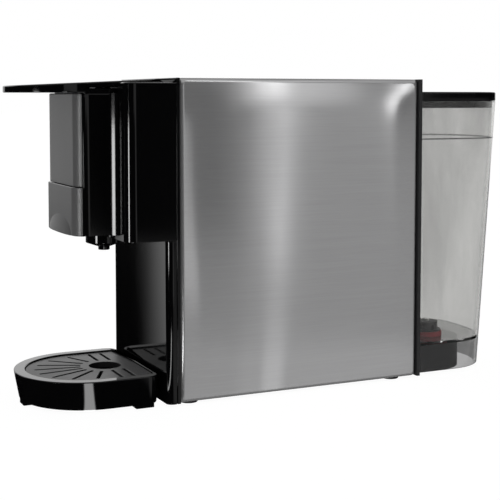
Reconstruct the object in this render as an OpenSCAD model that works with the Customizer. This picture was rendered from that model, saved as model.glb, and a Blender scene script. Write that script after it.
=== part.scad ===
// Pod coffee machine with a brewing lever, a pull-out capsule holder,
// a drip tray and a lift-off water tank.
// X runs across the machine, the front faces -Y, Z is up from the floor.
// Sizes along Y are given from the face of the lower column.

/* [Body] */
// Width across the two side panels
machine_w = 124; // [110:1:140]
// Height of the side panels' top edge above the floor
machine_h = 246; // [230:1:260]
// Height of the feet under the base
foot_h = 3; // [2:0.5:6]
// Wall of the moulded housings
skin = 2.4; // [1.6:0.2:3]
// Gap between parts that are mounted side by side
seat_gap = 0.3; // [0.2:0.05:0.5]
// Radial clearance of pins, stems and pistons that run in a bore
run_clearance = 0.05; // [0.02:0.01:0.1]
// Length of the side panels, front to back
panel_len = 207.4; // [190:0.5:225]
// Sheet thickness of the side panels
panel_t = 1.2; // [0.8:0.1:2]
// Radius of the side panels' rolled edges
panel_edge_r = 4; // [2:0.5:6]
// Depth of the side panels' folded rim
panel_rim = 7; // [5:0.5:10]
// Depth of the black frames in front of and behind the side panels
frame_d = 3; // [2:0.5:5]
// Thickness of the base plate
base_t = 3; // [2:0.5:5]
// Height of the stiffening wall round the base plate
base_wall_h = 14; // [8:1:20]

/* [Column and upper housing] */
// Depth of the lower column in front of the side panel frame
column_d = 7.5; // [5:0.5:15]
// Radius of the column's front edges
column_r = 5; // [2:0.5:7]
// How far the upper housing stands out in front of the column
overhang = 31.3; // [25:0.5:34]
// Height of the upper housing's underside
upper_bottom = 125.6; // [118:0.2:127]
// Drop of the shoulders beside the lever below the machine's top
shoulder_drop = 3.5; // [2:0.5:5]
// Radius of the upper housing's front edges
upper_r = 8; // [5:0.5:12]

/* [Brewing head] */
// Width of the brewing head
head_w = 80; // [76:1:86]
// How far the head's front stands in front of the column
head_reach = 62; // [56:0.5:68]
// Radius of the head's front edges
head_r = 10; // [6:0.5:14]
// Height of the head's underside
head_bottom = 129.7; // [128:0.1:132]
// Drop of the head's top deck below the machine's top
head_drop = 11.4; // [11.2:0.1:14]
// Drop of the deck's raised rear part below the machine's top
head_step_drop = 7.8; // [7.6:0.1:10]
// Radius of the hollow blend between the head and the upper housing
head_blend_r = 5; // [3:0.5:8]
// Depth of the low front ledge of the head's deck
head_ledge_d = 6.6; // [4:0.1:10]
// Distance of the brewing axis in front of the column
brew_axis = 28.7; // [27:0.1:31]
// Radius of the brewing piston
piston_r = 19; // [17:0.5:20]
// Height of the piston's sealing skirt
piston_h = 16; // [12:0.5:20]
// Radius of the piston's stem
stem_r = 7; // [5:0.5:8]
// Upward travel of the piston
piston_travel = 12; // [8:0.5:14]
// Height of the piston's guide tube
guide_h = 33.7; // [31:0.1:38]
// Length of the return spring at rest
return_spring_h = 14; // [12:0.5:16]
// Wire radius of the return spring
return_wire_r = 0.8; // [0.5:0.1:1]
// Turns of the return spring
return_turns = 5; // [3:1:7]

/* [Capsule holder] */
// Height of the capsule holder's front above the head's underside
holder_h = 36; // [34:0.5:38]
// How far the holder's front stands proud of the head
holder_proud = 1.5; // [1:0.1:2.5]
// Depth of the holder's front from its face to the side seam
holder_front_d = 6.7; // [5:0.1:9]
// Outer radius of the holder's capsule cup
cup_r = 24; // [22:0.5:26]
// Width of the pull lip's arch
lip_w = 58; // [40:1:60]
// Height of the pull lip's arch
lip_h = 14.3; // [10:0.1:18]
// How far the pull lip swells out
lip_swell = 2.4; // [1:0.1:4]
// Travel of the capsule holder
holder_travel = 62; // [50:1:70]
// Inner radius of the capsule basket at its mouth
basket_r = 18.6; // [16:0.1:19]
// Sheet thickness of the capsule basket
basket_t = 0.8; // [0.5:0.1:1.2]

/* [Spout] */
// Radius of the spout's round housing
spout_r = 14; // [12:0.5:15]
// Height of the lower rim of the spout's housing
spout_rim_z = 120; // [118:0.5:122]
// Height of the foot of the spout's cone
spout_cone_z = 116.9; // [115:0.1:117.5]
// Radius of the nozzle
nozzle_r = 4.4; // [3.5:0.1:6]
// Height of the nozzle's mouth
nozzle_z = 114.2; // [110:0.1:114.5]
// Bore radius of the nozzle
nozzle_bore_r = 2.6; // [1.5:0.1:3]

/* [Lever] */
// Reach of the lever's tip in front of the column
lever_reach = 104.7; // [98:0.1:110]
// Width of the lever
lever_w = 88; // [80:1:90]
// Thickness of the lever
lever_t = 3.8; // [3:0.1:4.5]
// Drop of the flat underside of the lever's grip below the machine's top
grip_drop = 11; // [10:0.1:11.1]
// Gap between the grip's rear edge and the raised deck
grip_gap = 0.6; // [0.4:0.1:1]
// Slope of the closed lever down to its tip, in degrees
lever_slope = 2.7; // [2:0.1:3]
// Radius of the hinge barrel at the lever's rear
barrel_r = 8.2; // [7:0.1:8.5]
// Drop of the barrel's top below the machine's top
barrel_drop = 1; // [0.5:0.1:2]
// Radius of the hinge pin
pin_r = 2.5; // [2:0.1:3.5]
// Side gap between the lever and the shoulders
lever_side_gap = 0.8; // [0.5:0.1:1.5]

/* [Drip tray] */
// Distance of the tray's rim inside the side panels' faces
tray_inset = 7; // [5:0.5:10]
// Reach of the tray's rim in front of the column
tray_reach = 99; // [94:0.5:104]
// Gap between the tray and the column
tray_rear_gap = 3; // [2:0.5:5]
// Height of the tray's rim
tray_top = 24.5; // [22:0.5:30]
// Height of the tray's underside
tray_bottom = 3; // [2:0.5:4]
// Inward draft of the tray's foot
tray_draft = 4; // [2:0.5:6]
// Wall of the tray
tray_t = 2.2; // [1.8:0.2:3]
// Width of the flat rim round the grille
rim_w = 9; // [7:0.5:11]
// Radius of the tray's rear corners
tray_corner_r = 10; // [6:1:14]

/* [Grille] */
// Thickness of the grille plate
grille_t = 2.5; // [2:0.1:3.5]
// Depth of the grille's face below the rim
grille_sink = 1.2; // [0.8:0.1:2]
// Radius of the drain hole
drain_r = 12.4; // [10:0.2:14]
// Width of the slots
slot_w = 2.4; // [1.6:0.1:3]
// Distance of the slots' inner ends from the drain's centre
slot_start = 19; // [17:0.5:21]
// Margin between the slots' outer ends and the plate's edge
slot_margin = 6.7; // [5:0.1:9]
// Angles of the fanned slots from straight ahead, in degrees
fan_angles = [8, 24.5, 43, 65];
// Distance between the two rows of crosswise slots
cross_pitch = 9.5; // [8:0.5:11]

/* [Water tank] */
// Depth of the tank at its top
tank_d = 97.1; // [88:0.1:104]
// Distance of the tank's sides inside the side panels' faces
tank_inset = 6; // [3:0.5:10]
// Radius of the tank's rear corners
tank_r = 42; // [30:1:46]
// Radius of the tank's front corners
tank_front_r = 6; // [4:0.5:10]
// Inward draft of the tank's rear face from top to bottom
tank_rear_draft = 15.7; // [8:0.1:18]
// Inward draft of the tank's sides
tank_side_draft = 1; // [0:0.2:2]
// Wall of the tank
tank_t = 2.2; // [1.8:0.1:3]
// Gap between the tank and the rear cover
tank_gap = 0.6; // [0.4:0.1:1]
// Height of the tank's lower edge
tank_bottom = 3.5; // [3.2:0.1:5]
// Height of the water floor inside the tank
tank_floor = 28; // [24:0.5:32]
// Drop of the tank's upper edge below the machine's top
tank_drop = 17.8; // [14:0.1:30]
// Drop of the full mark below the tank's upper edge
full_mark_drop = 31.2; // [20:0.1:45]
// How far the full mark stands out
mark_t = 0.3; // [0.2:0.1:0.6]
// Thickness of the lid's plate
lid_t = 7.5; // [5:0.5:9]
// Depth of the lid's inner skirt
lid_skirt = 5.8; // [4:0.2:8]
// Clearance between the lid's skirt and the tank's wall
lid_clearance = 0.6; // [0.4:0.1:1]
// Side clearance between the tank's skirt and the plinth
plinth_clearance = 1.2; // [0.8:0.1:2]
// Depth of the plinth behind the rear cover
plinth_d = 60; // [55:1:65]
// Distance of the valve behind the rear cover
valve_d = 31; // [26:0.5:36]
// Distance of the valve to the right of the machine's middle
valve_x = 24; // [10:0.5:26]
// Thickness of the valve's red gasket
gasket_h = 4; // [2:0.5:6]
// Outer radius of the valve's cage
cage_r = 9; // [8:0.1:9.5]
// Radius of the valve's plunger stem
plunger_r = 2; // [1.5:0.1:2.5]
// Opening travel of the valve's plunger
plunger_travel = 3; // [2:0.5:4]

/* [Buttons] */
// Radius of the cup buttons
button_r = 11; // [8:0.5:13]
// Distance between the two cup buttons
button_pitch = 36; // [28:1:44]
// Distance of the buttons behind the column's face
button_y = 44; // [36:1:60]
// Travel of the cup buttons
button_travel = 1.5; // [1:0.1:2]
// Height of the buttons above the top cover
button_rise = 0.8; // [0.5:0.1:1]

/* [Inside] */
// Radius of the pump's coil housing
pump_r = 17; // [15:0.5:20]
// Length of the pump's coil housing
pump_len = 52; // [45:1:60]
// Distance of the pump's middle in front of the rear cover
pump_rear_d = 108.5; // [95:0.5:112]
// Height of the pump's axis
pump_z = 44; // [38:1:55]
// Size of the heater block, as width, depth and height
heater_size = [46, 78, 34];
// Height of the heater block's underside
heater_z = 150; // [120:1:170]
// Outer radius of the hoses
hose_r = 3; // [2.5:0.1:4]
// Depth of the sockets in the hoses' ends
hose_socket = 10; // [8:0.5:12]
// Size of the circuit board, as width, depth and thickness
board_size = [80, 76, 1.6];

// Radius of the pump's tube
pump_tube_r = 8; // [6:0.5:10]
// Radius and thickness of the collars at the tube's ends
pump_collar = [10, 6];
// Distance of the pump's mounts from its coil
pump_mount_d = 9; // [7:0.5:12]
// Height of the pump's mounts above its axis
pump_mount_h = 14; // [11:0.5:18]
// How far the pump's tube, hoses and pipe stubs stand out of its coil
pump_ends = [12, 14, 20];
// Radius and height of the flow meter, then of its cap
meter_size = [13, 14, 9, 4];
// Free run of the hoses round what they pass
hose_clearance = 20; // [16:1:24]
// Number, width and depth of the grooves in each side of the heater
heater_grooves = [6, 3, 4];
// Distance of the heater from the bulkhead
heater_gap = 16; // [13:1:20]
// Height and thickness of the heater's bracket
heater_bracket_size = [26, 2];
// Depth of the top cover's skirt
cover_skirt = 8; // [7.4:0.2:10]
// Distance of the circuit board below the top cover
board_drop = 18; // [16:0.5:22]
// Lowest slot, number, pitch, half length and width of the rear cover's vents
vents = [153, 8, 6, 22, 2.6];

/* [Hidden] */
$fn = 96;
HULL_FN = 32;
eps = 0.01;

// Chain of places from the column's face to the rear
frame_y = column_d;
panel_y = frame_y + frame_d + seat_gap;
rear_y = panel_y + panel_len + seat_gap;
pump_y = rear_y - pump_rear_d;
back_y = rear_y + frame_d;
tank_y = back_y + tank_gap;
tank_rear_y = tank_y + tank_d;
footprint_mid = (tank_rear_y - lever_reach) / 2;

// Heights at the top of the machine
shoulder_top = machine_h - shoulder_drop;
head_top = machine_h - head_drop;
head_step_top = machine_h - head_step_drop;
grip_z = machine_h - grip_drop;
barrel_top = machine_h - barrel_drop;
tank_top = machine_h - tank_drop;

// Width of what stands between the side panels' folded rims
core_w = machine_w - 2 * panel_rim - 2 * seat_gap;
panel_h = machine_h - foot_h;
floor_z = foot_h + base_t;
cover_top = machine_h - button_rise;
bulkhead_y = panel_y;
bulkhead_t = skin;

// Brewing head
bay_floor = head_bottom + skin;
bay_top = head_bottom + holder_h + seat_gap;
holder_top = head_bottom + holder_h;
head_core_w = head_w - 2 * skin;
head_back_y = -brew_axis + piston_r + 3 * skin;
holder_seam_y = -head_reach - holder_proud + holder_front_d;
piston_z = bay_top + seat_gap;
guide_top = bay_top + guide_h;
spring_z = guide_top;
collar_z = spring_z + return_spring_h;
guide_outer_r = piston_r + skin + run_clearance;
slot_half = spout_r + 1.5;
port_z = piston_z + piston_h - 4;

// Lever
pivot_y = frame_y - seat_gap - 0.5 - barrel_r;
pivot_z = barrel_top - barrel_r;
channel_w = lever_w + 2 * lever_side_gap;
trough_r = barrel_r + lever_side_gap;
// Height of the lever's underside over a place in front of the column
function lever_under(y) =
    pivot_z + (barrel_r - lever_t) / cos(lever_slope) + (y - pivot_y) * tan(lever_slope);
channel_z = lever_under(-overhang) - 2 * seat_gap;
stem_top = lever_under(-brew_axis - stem_r) - seat_gap;

// Tray and grille
tray_w = machine_w - 2 * tray_inset;
grille_w = tray_w - 2 * rim_w;
grille_reach = tray_reach - rim_w;
grille_rear = tray_rear_gap + 1.6;
grille_top = tray_top - grille_sink;
grille_under = grille_top - grille_t;
plate_fit = 0.4;
tongue_w = 22;
tongue_x = 30;
tongue_t = 3;
tongue_z = floor_z + seat_gap;

// Tank and plinth
tank_w = machine_w - 2 * tank_inset;
full_mark_z = tank_top - full_mark_drop;
tank_floor_t = 2.5;
plinth_top = tank_floor - tank_floor_t - seat_gap;
plinth_w = tank_w - 2 * (tank_side_draft + tank_t + plinth_clearance);
plinth_r = 34;
valve_y = back_y + valve_d;
lid_z = tank_top + seat_gap;
socket_floor = plinth_top - 12;
boss_bottom = plinth_top - 6;
cage_bottom = boss_bottom - 2;
cage_top = tank_floor + gasket_h + 8;
spigot_r = cage_r + skin;
socket_r = spigot_r + seat_gap + skin;
notch_w = 18;
notch_y = back_y + 18;
gland_z = 12;
gland_r = 4.5;

module placed() {
    translate([0, -footprint_mid, 0]) children();
}

// Rectangle with all four corners round, centred
module round_rect(w, d, r) {
    square([w - 2 * r, d], center = true);
    square([w, d - 2 * r], center = true);
    for (x = [-1, 1], y = [-1, 1])
        translate([x * (w / 2 - r), y * (d / 2 - r)]) circle(r);
}

// Outline from y = -reach back to y = rear, with only its front corners round
module front_round(w, reach, rear, r) {
    intersection() {
        translate([-w / 2, -reach]) square([w, reach + rear]);
        translate([0, -reach + r]) union() {
            translate([-w / 2, 0]) square([w, reach + rear]);
            translate([-w / 2 + r, -r]) square([w - 2 * r, reach + rear]);
            for (side = [-1, 1]) translate([side * (w / 2 - r), 0]) circle(r);
        }
    }
}

// U-shaped outline: a half circle in front, rounded corners at the rear
module tray_plan(w, reach, rear, r) {
    translate([0, -reach + w / 2]) difference() {
        circle(w / 2);
        translate([-w, eps]) square([2 * w, w]);
    }
    translate([-w / 2, -reach + w / 2]) square([w, reach - rear - w / 2 - r]);
    translate([-w / 2 + r, -rear - r - eps]) square([w - 2 * r, r + eps]);
    for (side = [-1, 1])
        translate([side * (w / 2 - r), -rear - r]) circle(r);
}

// Outline of the tank from y = 0 back, with a small front and a large rear radius
module tank_plan(w, d, front_r, rear_r) {
    intersection() {
        translate([-w / 2, 0]) square([w, d]);
        union() {
            translate([-w / 2, front_r]) square([w, d - front_r - rear_r]);
            translate([-w / 2 + front_r, 0]) square([w - 2 * front_r, d - rear_r]);
            translate([-w / 2 + rear_r, front_r]) square([w - 2 * rear_r, d - front_r]);
            for (side = [-1, 1]) {
                translate([side * (w / 2 - front_r), front_r]) circle(front_r);
                translate([side * (w / 2 - rear_r), d - rear_r]) circle(rear_r);
            }
        }
    }
}

// Slot with round ends, from radius a to radius b along +X
module slot(a, b, w) {
    translate([a, -w / 2]) square([b - a, w]);
    for (x = [a, b]) translate([x, 0]) circle(w / 2);
}

// Rod from point a to point b
module rod(a, b, r) {
    run = b - a;
    translate(a) rotate([0, acos(run.z / norm(run)), atan2(run.y, run.x)])
        cylinder(r = r, h = norm(run), $fn = 24);
}

// Hose that follows a list of points, with slightly fuller bends and a socket
// for a pipe stub in each end
module hose(points) {
    last = len(points) - 1;
    function toward(a, b) = a + (b - a) * min(1, hose_socket / norm(b - a));
    difference() {
        union() {
            for (i = [0 : last - 1]) rod(points[i], points[i + 1], hose_r);
            for (i = [1 : last - 1]) translate(points[i]) sphere(1.04 * hose_r, $fn = 24);
        }
        rod(points[0], toward(points[0], points[1]), hose_r / 2);
        rod(points[last], toward(points[last], points[last - 1]), hose_r / 2);
    }
}

// Closed wire helix that stands on z = 0
module coil_spring(r, wire_r, h, turns) {
    sides = 8;
    steps = 20 * turns;
    pitch = (h - 2 * wire_r) / turns;
    function ring(i) = [for (s = [0 : sides - 1])
        let (a = 360 * i / 20, b = 360 * s / sides)
        [(r + wire_r * cos(b)) * cos(a), (r + wire_r * cos(b)) * sin(a),
            wire_r + pitch * i / 20 + wire_r * sin(b)]];
    points = [for (i = [0 : steps]) each ring(i)];
    walls = [for (i = [0 : steps - 1], s = [0 : sides - 1])
        let (a = i * sides + s, b = i * sides + (s + 1) % sides)
        [a, a + sides, b + sides, b]];
    start_cap = [for (s = [0 : sides - 1]) s];
    end_cap = [for (s = [sides - 1 : -1 : 0]) steps * sides + s];
    polyhedron(points, concat([start_cap], walls, [end_cap]));
}

// Base plate with its stiffening wall and the plinth under the water tank
module base_chassis() {
    wall_top = floor_z + base_wall_h;
    front = frame_y + frame_d + seat_gap;
    vent_pitch = 7;
    color("dimgray") placed() {
        difference() {
            union() {
                translate([-core_w / 2, front, foot_h])
                    cube([core_w, rear_y - seat_gap - front, base_t]);
                translate([0, 0, floor_z - eps]) linear_extrude(base_wall_h) difference() {
                    translate([-core_w / 2, front]) square([core_w, rear_y - seat_gap - front]);
                    translate([-core_w / 2 + skin, front + skin])
                        square([core_w - 2 * skin, rear_y - seat_gap - front - 2 * skin]);
                }
                translate([0, rear_y - seat_gap - skin, foot_h]) plinth_shell();
                // Front edge that reaches under the column and carries the tray's tongues
                translate([-core_w / 2, skin + seat_gap, foot_h])
                    cube([core_w, front - skin - seat_gap + eps, base_t]);
                for (side = [-1, 1])
                    translate([-pump_r - 6, pump_y + side * (pump_len / 2 + pump_mount_d) - 5, floor_z - eps])
                        cube([2 * pump_r + 12, 10, mount_pad_h]);
                for (p = base_screw_places) translate([p.x, p.y, floor_z - eps])
                    cylinder(r = 4.5, h = base_wall_h);
            }
            // Way of the suction hose to the valve
            translate([valve_x, rear_y - 10, hose_axis_z])
                rotate([-90, 0, 0]) cylinder(r = hose_r + seat_gap, h = valve_y - rear_y + 10);
            for (i = [0 : 9], side = [-1, 1])
                translate([side * 30, panel_y + 30 + i * vent_pitch, foot_h - eps])
                    linear_extrude(base_t + 1) slot(-10, 10, 2.4);
            for (p = foot_places) translate([p.x, p.y, foot_h - eps])
                cylinder(r = foot_peg_r + 0.1, h = base_t + 1);
            for (p = base_screw_places) translate([p.x, p.y, foot_h - eps])
                cylinder(r = screw_r + 0.1, h = base_t + base_wall_h + 1);
        }
    }
}

hose_axis_z = floor_z + hose_r + seat_gap;
mount_pad_h = 6;
foot_peg_r = 3;
foot_r = 7;
screw_r = 1.5;
foot_places = [for (x = [-1, 1], y = [panel_y + 12, rear_y - 16]) [x * (core_w / 2 - foot_r - 2), y]];
base_screw_places = [for (x = [-1, 1], y = [panel_y + 40, rear_y - 50]) [x * (core_w / 2 - 6), y]];

// Hollow plinth, open below, with the recess of the valve socket
module plinth_shell() {
    depth = plinth_d + frame_d + seat_gap + skin;
    difference() {
        linear_extrude(plinth_top - foot_h)
            tank_plan(plinth_w, depth, 1, plinth_r);
        difference() {
            translate([0, skin, -eps]) linear_extrude(plinth_top - foot_h - skin)
                tank_plan(plinth_w - 2 * skin, depth - 2 * skin, 1, plinth_r - skin);
            translate([valve_x, depth - plinth_d + valve_d, 0])
                cylinder(r = socket_r + skin, h = plinth_top);
        }
        translate([valve_x, depth - plinth_d + valve_d, socket_floor - foot_h])
            cylinder(r = socket_r + 0.1, h = plinth_top);
        translate([valve_x, depth - plinth_d + valve_d, -eps])
            cylinder(r = hose_r + seat_gap, h = plinth_top);
        // Seat of the cable gland in the plinth's side
        translate([-plinth_w / 2 - 1, depth - plinth_d + notch_y - back_y, gland_z - foot_h])
            rotate([0, 90, 0]) cylinder(r = gland_r, h = skin + 2);
    }
}

// Glossy lower front with returned sides
module front_column() {
    top = upper_bottom - seat_gap;
    color("black") placed() difference() {
        translate([0, 0, foot_h]) linear_extrude(top - foot_h) difference() {
            front_round(machine_w, 0, frame_y - seat_gap, column_r);
            front_round(machine_w - 2 * skin, -skin, frame_y, column_r - skin);
        }
        for (side = [-1, 1])
            translate([side * tongue_x - tongue_w / 2 - seat_gap, -1, tongue_z - seat_gap])
                cube([tongue_w + 2 * seat_gap, skin + 2, tongue_t + 2 * seat_gap]);
    }
}

// Upper front housing with a shoulder on each side of the lever
module upper_housing() {
    back = frame_y - seat_gap;
    window_w = head_w + 2 * seat_gap;
    shoulder_w = (machine_w - channel_w) / 2;
    color("black") placed() difference() {
        union() {
            difference() {
                translate([0, 0, upper_bottom]) linear_extrude(shoulder_top - upper_bottom)
                    front_round(machine_w, overhang, back, upper_r);
                // Hollow below the lever's channel, open to the rear
                translate([0, 0, upper_bottom + skin])
                    linear_extrude(channel_z - upper_bottom - 2 * skin)
                        front_round(machine_w - 2 * skin, overhang - skin, back + 1, upper_r - skin);
                // Hollow shoulders
                for (side = [-1, 1])
                    translate([side * (machine_w - shoulder_w) / 2 - shoulder_w / 2 + skin,
                        -overhang + upper_r, channel_z - 2 * skin])
                        cube([shoulder_w - 2 * skin, overhang + back - upper_r + 1,
                            shoulder_top - channel_z + skin]);
            }
            // Trough under the lever's barrel, with the cheeks that hold its pin
            translate([-channel_w / 2 - skin, pivot_y, pivot_z]) rotate([0, 90, 0])
                intersection() {
                    cylinder(r = trough_r + skin, h = channel_w + 2 * skin);
                    translate([-shoulder_top + pivot_z + skin, -2 * trough_r, 0])
                        cube([2 * machine_h, 2 * trough_r + back - pivot_y, machine_w]);
                }
        }
        // Channel of the lever
        translate([-channel_w / 2, -overhang - 1, channel_z])
            cube([channel_w, overhang + back + 2, machine_h]);
        translate([-channel_w / 2, pivot_y, pivot_z]) rotate([0, 90, 0])
            cylinder(r = trough_r, h = channel_w);
        translate([-machine_w / 2 + skin, pivot_y, pivot_z]) rotate([0, 90, 0])
            cylinder(r = pin_r + run_clearance, h = machine_w - 2 * skin);
        // Window of the brewing head
        translate([-window_w / 2, -overhang - 1, head_bottom - seat_gap])
            cube([window_w, skin + 1 + eps, machine_h]);
        // Passage of the spout, open to the front
        translate([-slot_half, -overhang - 1, upper_bottom - 1])
            cube([2 * slot_half, overhang - brew_axis + slot_half + 1, head_bottom - upper_bottom + 1]);
        translate([0, -brew_axis, channel_z - 2 * skin])
            cylinder(r = stem_r + 1, h = 3 * skin);
    }
}

// Black frame in front of the side panels
module front_frame() {
    color("black") placed() translate([0, frame_y, foot_h]) difference() {
        translate([-machine_w / 2, 0, 0]) cube([machine_w, frame_d, panel_h]);
        translate([-core_w / 2 - seat_gap, -1, -1])
            cube([core_w + 2 * seat_gap, frame_d + 2, cover_top - cover_skirt - foot_h + 1]);
    }
}

// Rear cover behind the side panels, with the gap for the plinth
module rear_cover() {
    gap_w = plinth_w + 2 * seat_gap;
    color("black") placed() translate([0, rear_y, foot_h]) difference() {
        translate([-machine_w / 2, 0, 0]) cube([machine_w, frame_d, panel_h]);
        translate([-gap_w / 2, -1, -1])
            cube([gap_w, frame_d + 2, plinth_top + seat_gap - foot_h + 1]);
        for (i = [0 : vents[1] - 1]) translate([0, -1, vents[0] - foot_h + i * vents[2]])
            rotate([-90, 0, 0]) linear_extrude(frame_d + 2) slot(-vents[3], vents[3], vents[4]);
    }
}

// Steel side panel on the +X side, a shallow pan with rolled edges
module side_panel() {
    module pan(inset, depth) {
        r = panel_edge_r - inset;
        hull() {
            for (y = [panel_y + panel_edge_r, panel_y + panel_len - panel_edge_r],
                    z = [foot_h + panel_edge_r, machine_h - panel_edge_r])
                translate([machine_w / 2 - panel_edge_r, y, z]) sphere(r, $fn = HULL_FN);
            translate([machine_w / 2 - depth, panel_y + inset, foot_h + inset])
                cube([depth - panel_edge_r, panel_len - 2 * inset, panel_h - 2 * inset]);
        }
    }
    difference() {
        pan(0, panel_rim);
        pan(panel_t, panel_rim + 1);
        translate([machine_w / 2 - panel_rim - panel_edge_r, panel_y - 1, 0])
            cube([panel_edge_r, panel_len + 2, machine_h]);
    }
}

module side_panel_right() {
    color("silver") placed() side_panel();
}

module side_panel_left() {
    color("silver") placed() mirror([1, 0, 0]) side_panel();
}

// Top cover between the side panels, with the seats of the two cup buttons
module top_cover() {
    front = panel_y;
    cover_w = core_w;
    color("black") placed() difference() {
        translate([-cover_w / 2, front, cover_top - cover_skirt])
            cube([cover_w, rear_y - seat_gap - front, cover_skirt]);
        translate([-cover_w / 2 + skin, front + skin, cover_top - cover_skirt - eps])
            cube([cover_w - 2 * skin, rear_y - seat_gap - front - 2 * skin, cover_skirt - skin + eps]);
        for (side = [-1, 1]) translate([side * button_pitch / 2, button_y, cover_top - cover_skirt])
            cylinder(r = button_r + seat_gap, h = cover_skirt + 1);
    }
}

// Upright plate that joins the base, the front and the top cover
module bulkhead() {
    plate_w = core_w - 2 * skin - 2 * seat_gap;
    plate_h = cover_top - 8 - floor_z - seat_gap;
    y = bulkhead_y + skin + seat_gap;
    color("gray") placed() difference() {
        union() {
            translate([-plate_w / 2, y, floor_z]) cube([plate_w, bulkhead_t, plate_h]);
            for (side = [-1, 1])
                translate([side * (plate_w / 2 - skin / 2) - skin / 2, y, floor_z])
                    cube([skin, 12, plate_h]);
        }
        translate([0, y - 1, heater_z + heater_size.z / 2])
            rotate([-90, 0, 0]) cylinder(r = hose_r + 2, h = bulkhead_t + 2);
    }
}

// Brewing head: front, sides, top deck and the floor that carries the holder
module head_housing() {
    step_y = -head_reach + head_ledge_d;
    color("dimgray") placed() difference() {
        union() {
            translate([0, 0, head_bottom]) linear_extrude(head_top - head_bottom)
                front_round(head_w, head_reach, head_back_y, head_r);
            translate([0, 0, head_top - eps]) linear_extrude(head_step_top - head_top) intersection() {
                front_round(head_w, head_reach, 0, head_r);
                translate([-head_w / 2, step_y])
                    square([head_w, -overhang - seat_gap - step_y]);
            }
            // Hollow blends out to the upper housing's face
            translate([0, -overhang - seat_gap, head_bottom]) linear_extrude(head_top - head_bottom)
                for (side = [0, 1]) mirror([side, 0]) difference() {
                    translate([head_w / 2 - 1, -head_blend_r]) square([head_blend_r + 1, head_blend_r]);
                    translate([head_w / 2 + head_blend_r, -head_blend_r]) circle(head_blend_r);
                }
        }
        // Hollow above the holder bay
        translate([0, 0, bay_top + skin]) linear_extrude(head_top - bay_top - 2 * skin)
            front_round(head_core_w, head_reach - skin, head_back_y + 1, head_r - skin);
        // Bay of the capsule holder, open in front
        translate([0, 0, bay_floor]) linear_extrude(bay_top - bay_floor)
            front_round(head_core_w, head_reach + 1, cup_r - brew_axis + seat_gap, 1);
        translate([-head_w / 2 - 1, -head_reach - 1, head_bottom - 1])
            cube([head_w + 2, holder_seam_y + seat_gap + head_reach + 1, bay_top - head_bottom + 1]);
        // Slot of the spout in the floor
        translate([-slot_half, -head_reach - 1, head_bottom - 1])
            cube([2 * slot_half, head_reach - brew_axis + slot_half + 1, skin + 2]);
        translate([0, -brew_axis, bay_top - eps])
            cylinder(r = guide_outer_r + seat_gap, h = skin + 1);
        translate([0, -brew_axis, head_top - skin - 1])
            cylinder(r = stem_r + 1, h = head_step_top - head_top + skin + 2);
        // Room for the lever's trough
        translate([-head_w / 2 - 1, pivot_y, pivot_z]) rotate([0, 90, 0])
            cylinder(r = trough_r + skin + seat_gap, h = head_w + 2);
    }
}

// Guide tube of the piston, closed by a bushing for its stem
module piston_guide() {
    color("gray") placed() translate([0, -brew_axis, 0]) difference() {
        rotate_extrude() guide_profile();
        // Port of the brewing water
        translate([0, 0, port_z]) rotate([-90, 0, 0]) cylinder(r = hose_r / 2, h = 2 * piston_r);
    }
}

module guide_profile() {
    difference() {
        union() {
            translate([0, bay_top]) square([guide_outer_r, guide_h]);
            translate([0, bay_top + skin + seat_gap]) square([guide_outer_r + 3, skin]);
        }
        translate([-1, bay_top - 1]) square([piston_r + run_clearance + 1, guide_h - skin + 1]);
        translate([-1, bay_top]) square([stem_r + run_clearance + 1, guide_h + 1]);
    }
}

// Brewing piston with its stem and the collar of the return spring
module piston() {
    groove = 1.2;
    color("whitesmoke") placed() translate([0, -brew_axis, 0]) difference() {
        union() {
            translate([0, 0, piston_z]) cylinder(r = piston_r, h = piston_h);
            translate([0, 0, piston_z]) cylinder(r = stem_r, h = stem_top - piston_z - 1);
            translate([0, 0, stem_top - 1]) cylinder(r = stem_r - 1, h = 1);
            translate([0, 0, collar_z + eps]) cylinder(r = stem_r + 4, h = skin);
        }
        translate([0, 0, piston_z - 1]) cylinder(r = piston_r - skin, h = 5);
        translate([0, 0, piston_z + piston_h / 2 - 1]) rotate_extrude()
            translate([piston_r - groove, 0]) square([groove + 1, 2]);
        // Water channel down to the piercer
        translate([0, 0, piston_z - 1]) cylinder(r = 1.2, h = port_z - piston_z + 1);
        translate([0, 0, port_z]) rotate([-90, 0, 0]) cylinder(r = 1.2, h = piston_r + 1);
    }
}

// Steel plate with three points that open the capsule
module piercer_plate() {
    plate_z = piston_z + 4 - 0.8 - 0.05;
    color("silver") placed() translate([0, -brew_axis, 0]) difference() {
        union() {
            translate([0, 0, plate_z]) cylinder(r = piston_r - skin - 0.1, h = 0.8);
            for (a = [90, 210, 330]) rotate([0, 0, a]) translate([8, 0, plate_z - 2.8])
                cylinder(r1 = 0.2, r2 = 1.2, h = 2.8 + eps);
        }
        translate([0, 0, plate_z - 1]) cylinder(r = 1.2, h = 3);
    }
}

// Rubber ring in the piston's groove
module piston_seal() {
    color("tomato") placed() translate([0, -brew_axis, piston_z + piston_h / 2 - 1]) rotate_extrude()
        translate([piston_r - 1.1, 0.1]) square([1.1, 1.8]);
}

// Spring that lifts the piston when the lever opens
module return_spring() {
    color("silver") placed() translate([0, -brew_axis, spring_z])
        coil_spring(stem_r + 2, return_wire_r, return_spring_h, return_turns);
}

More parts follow.
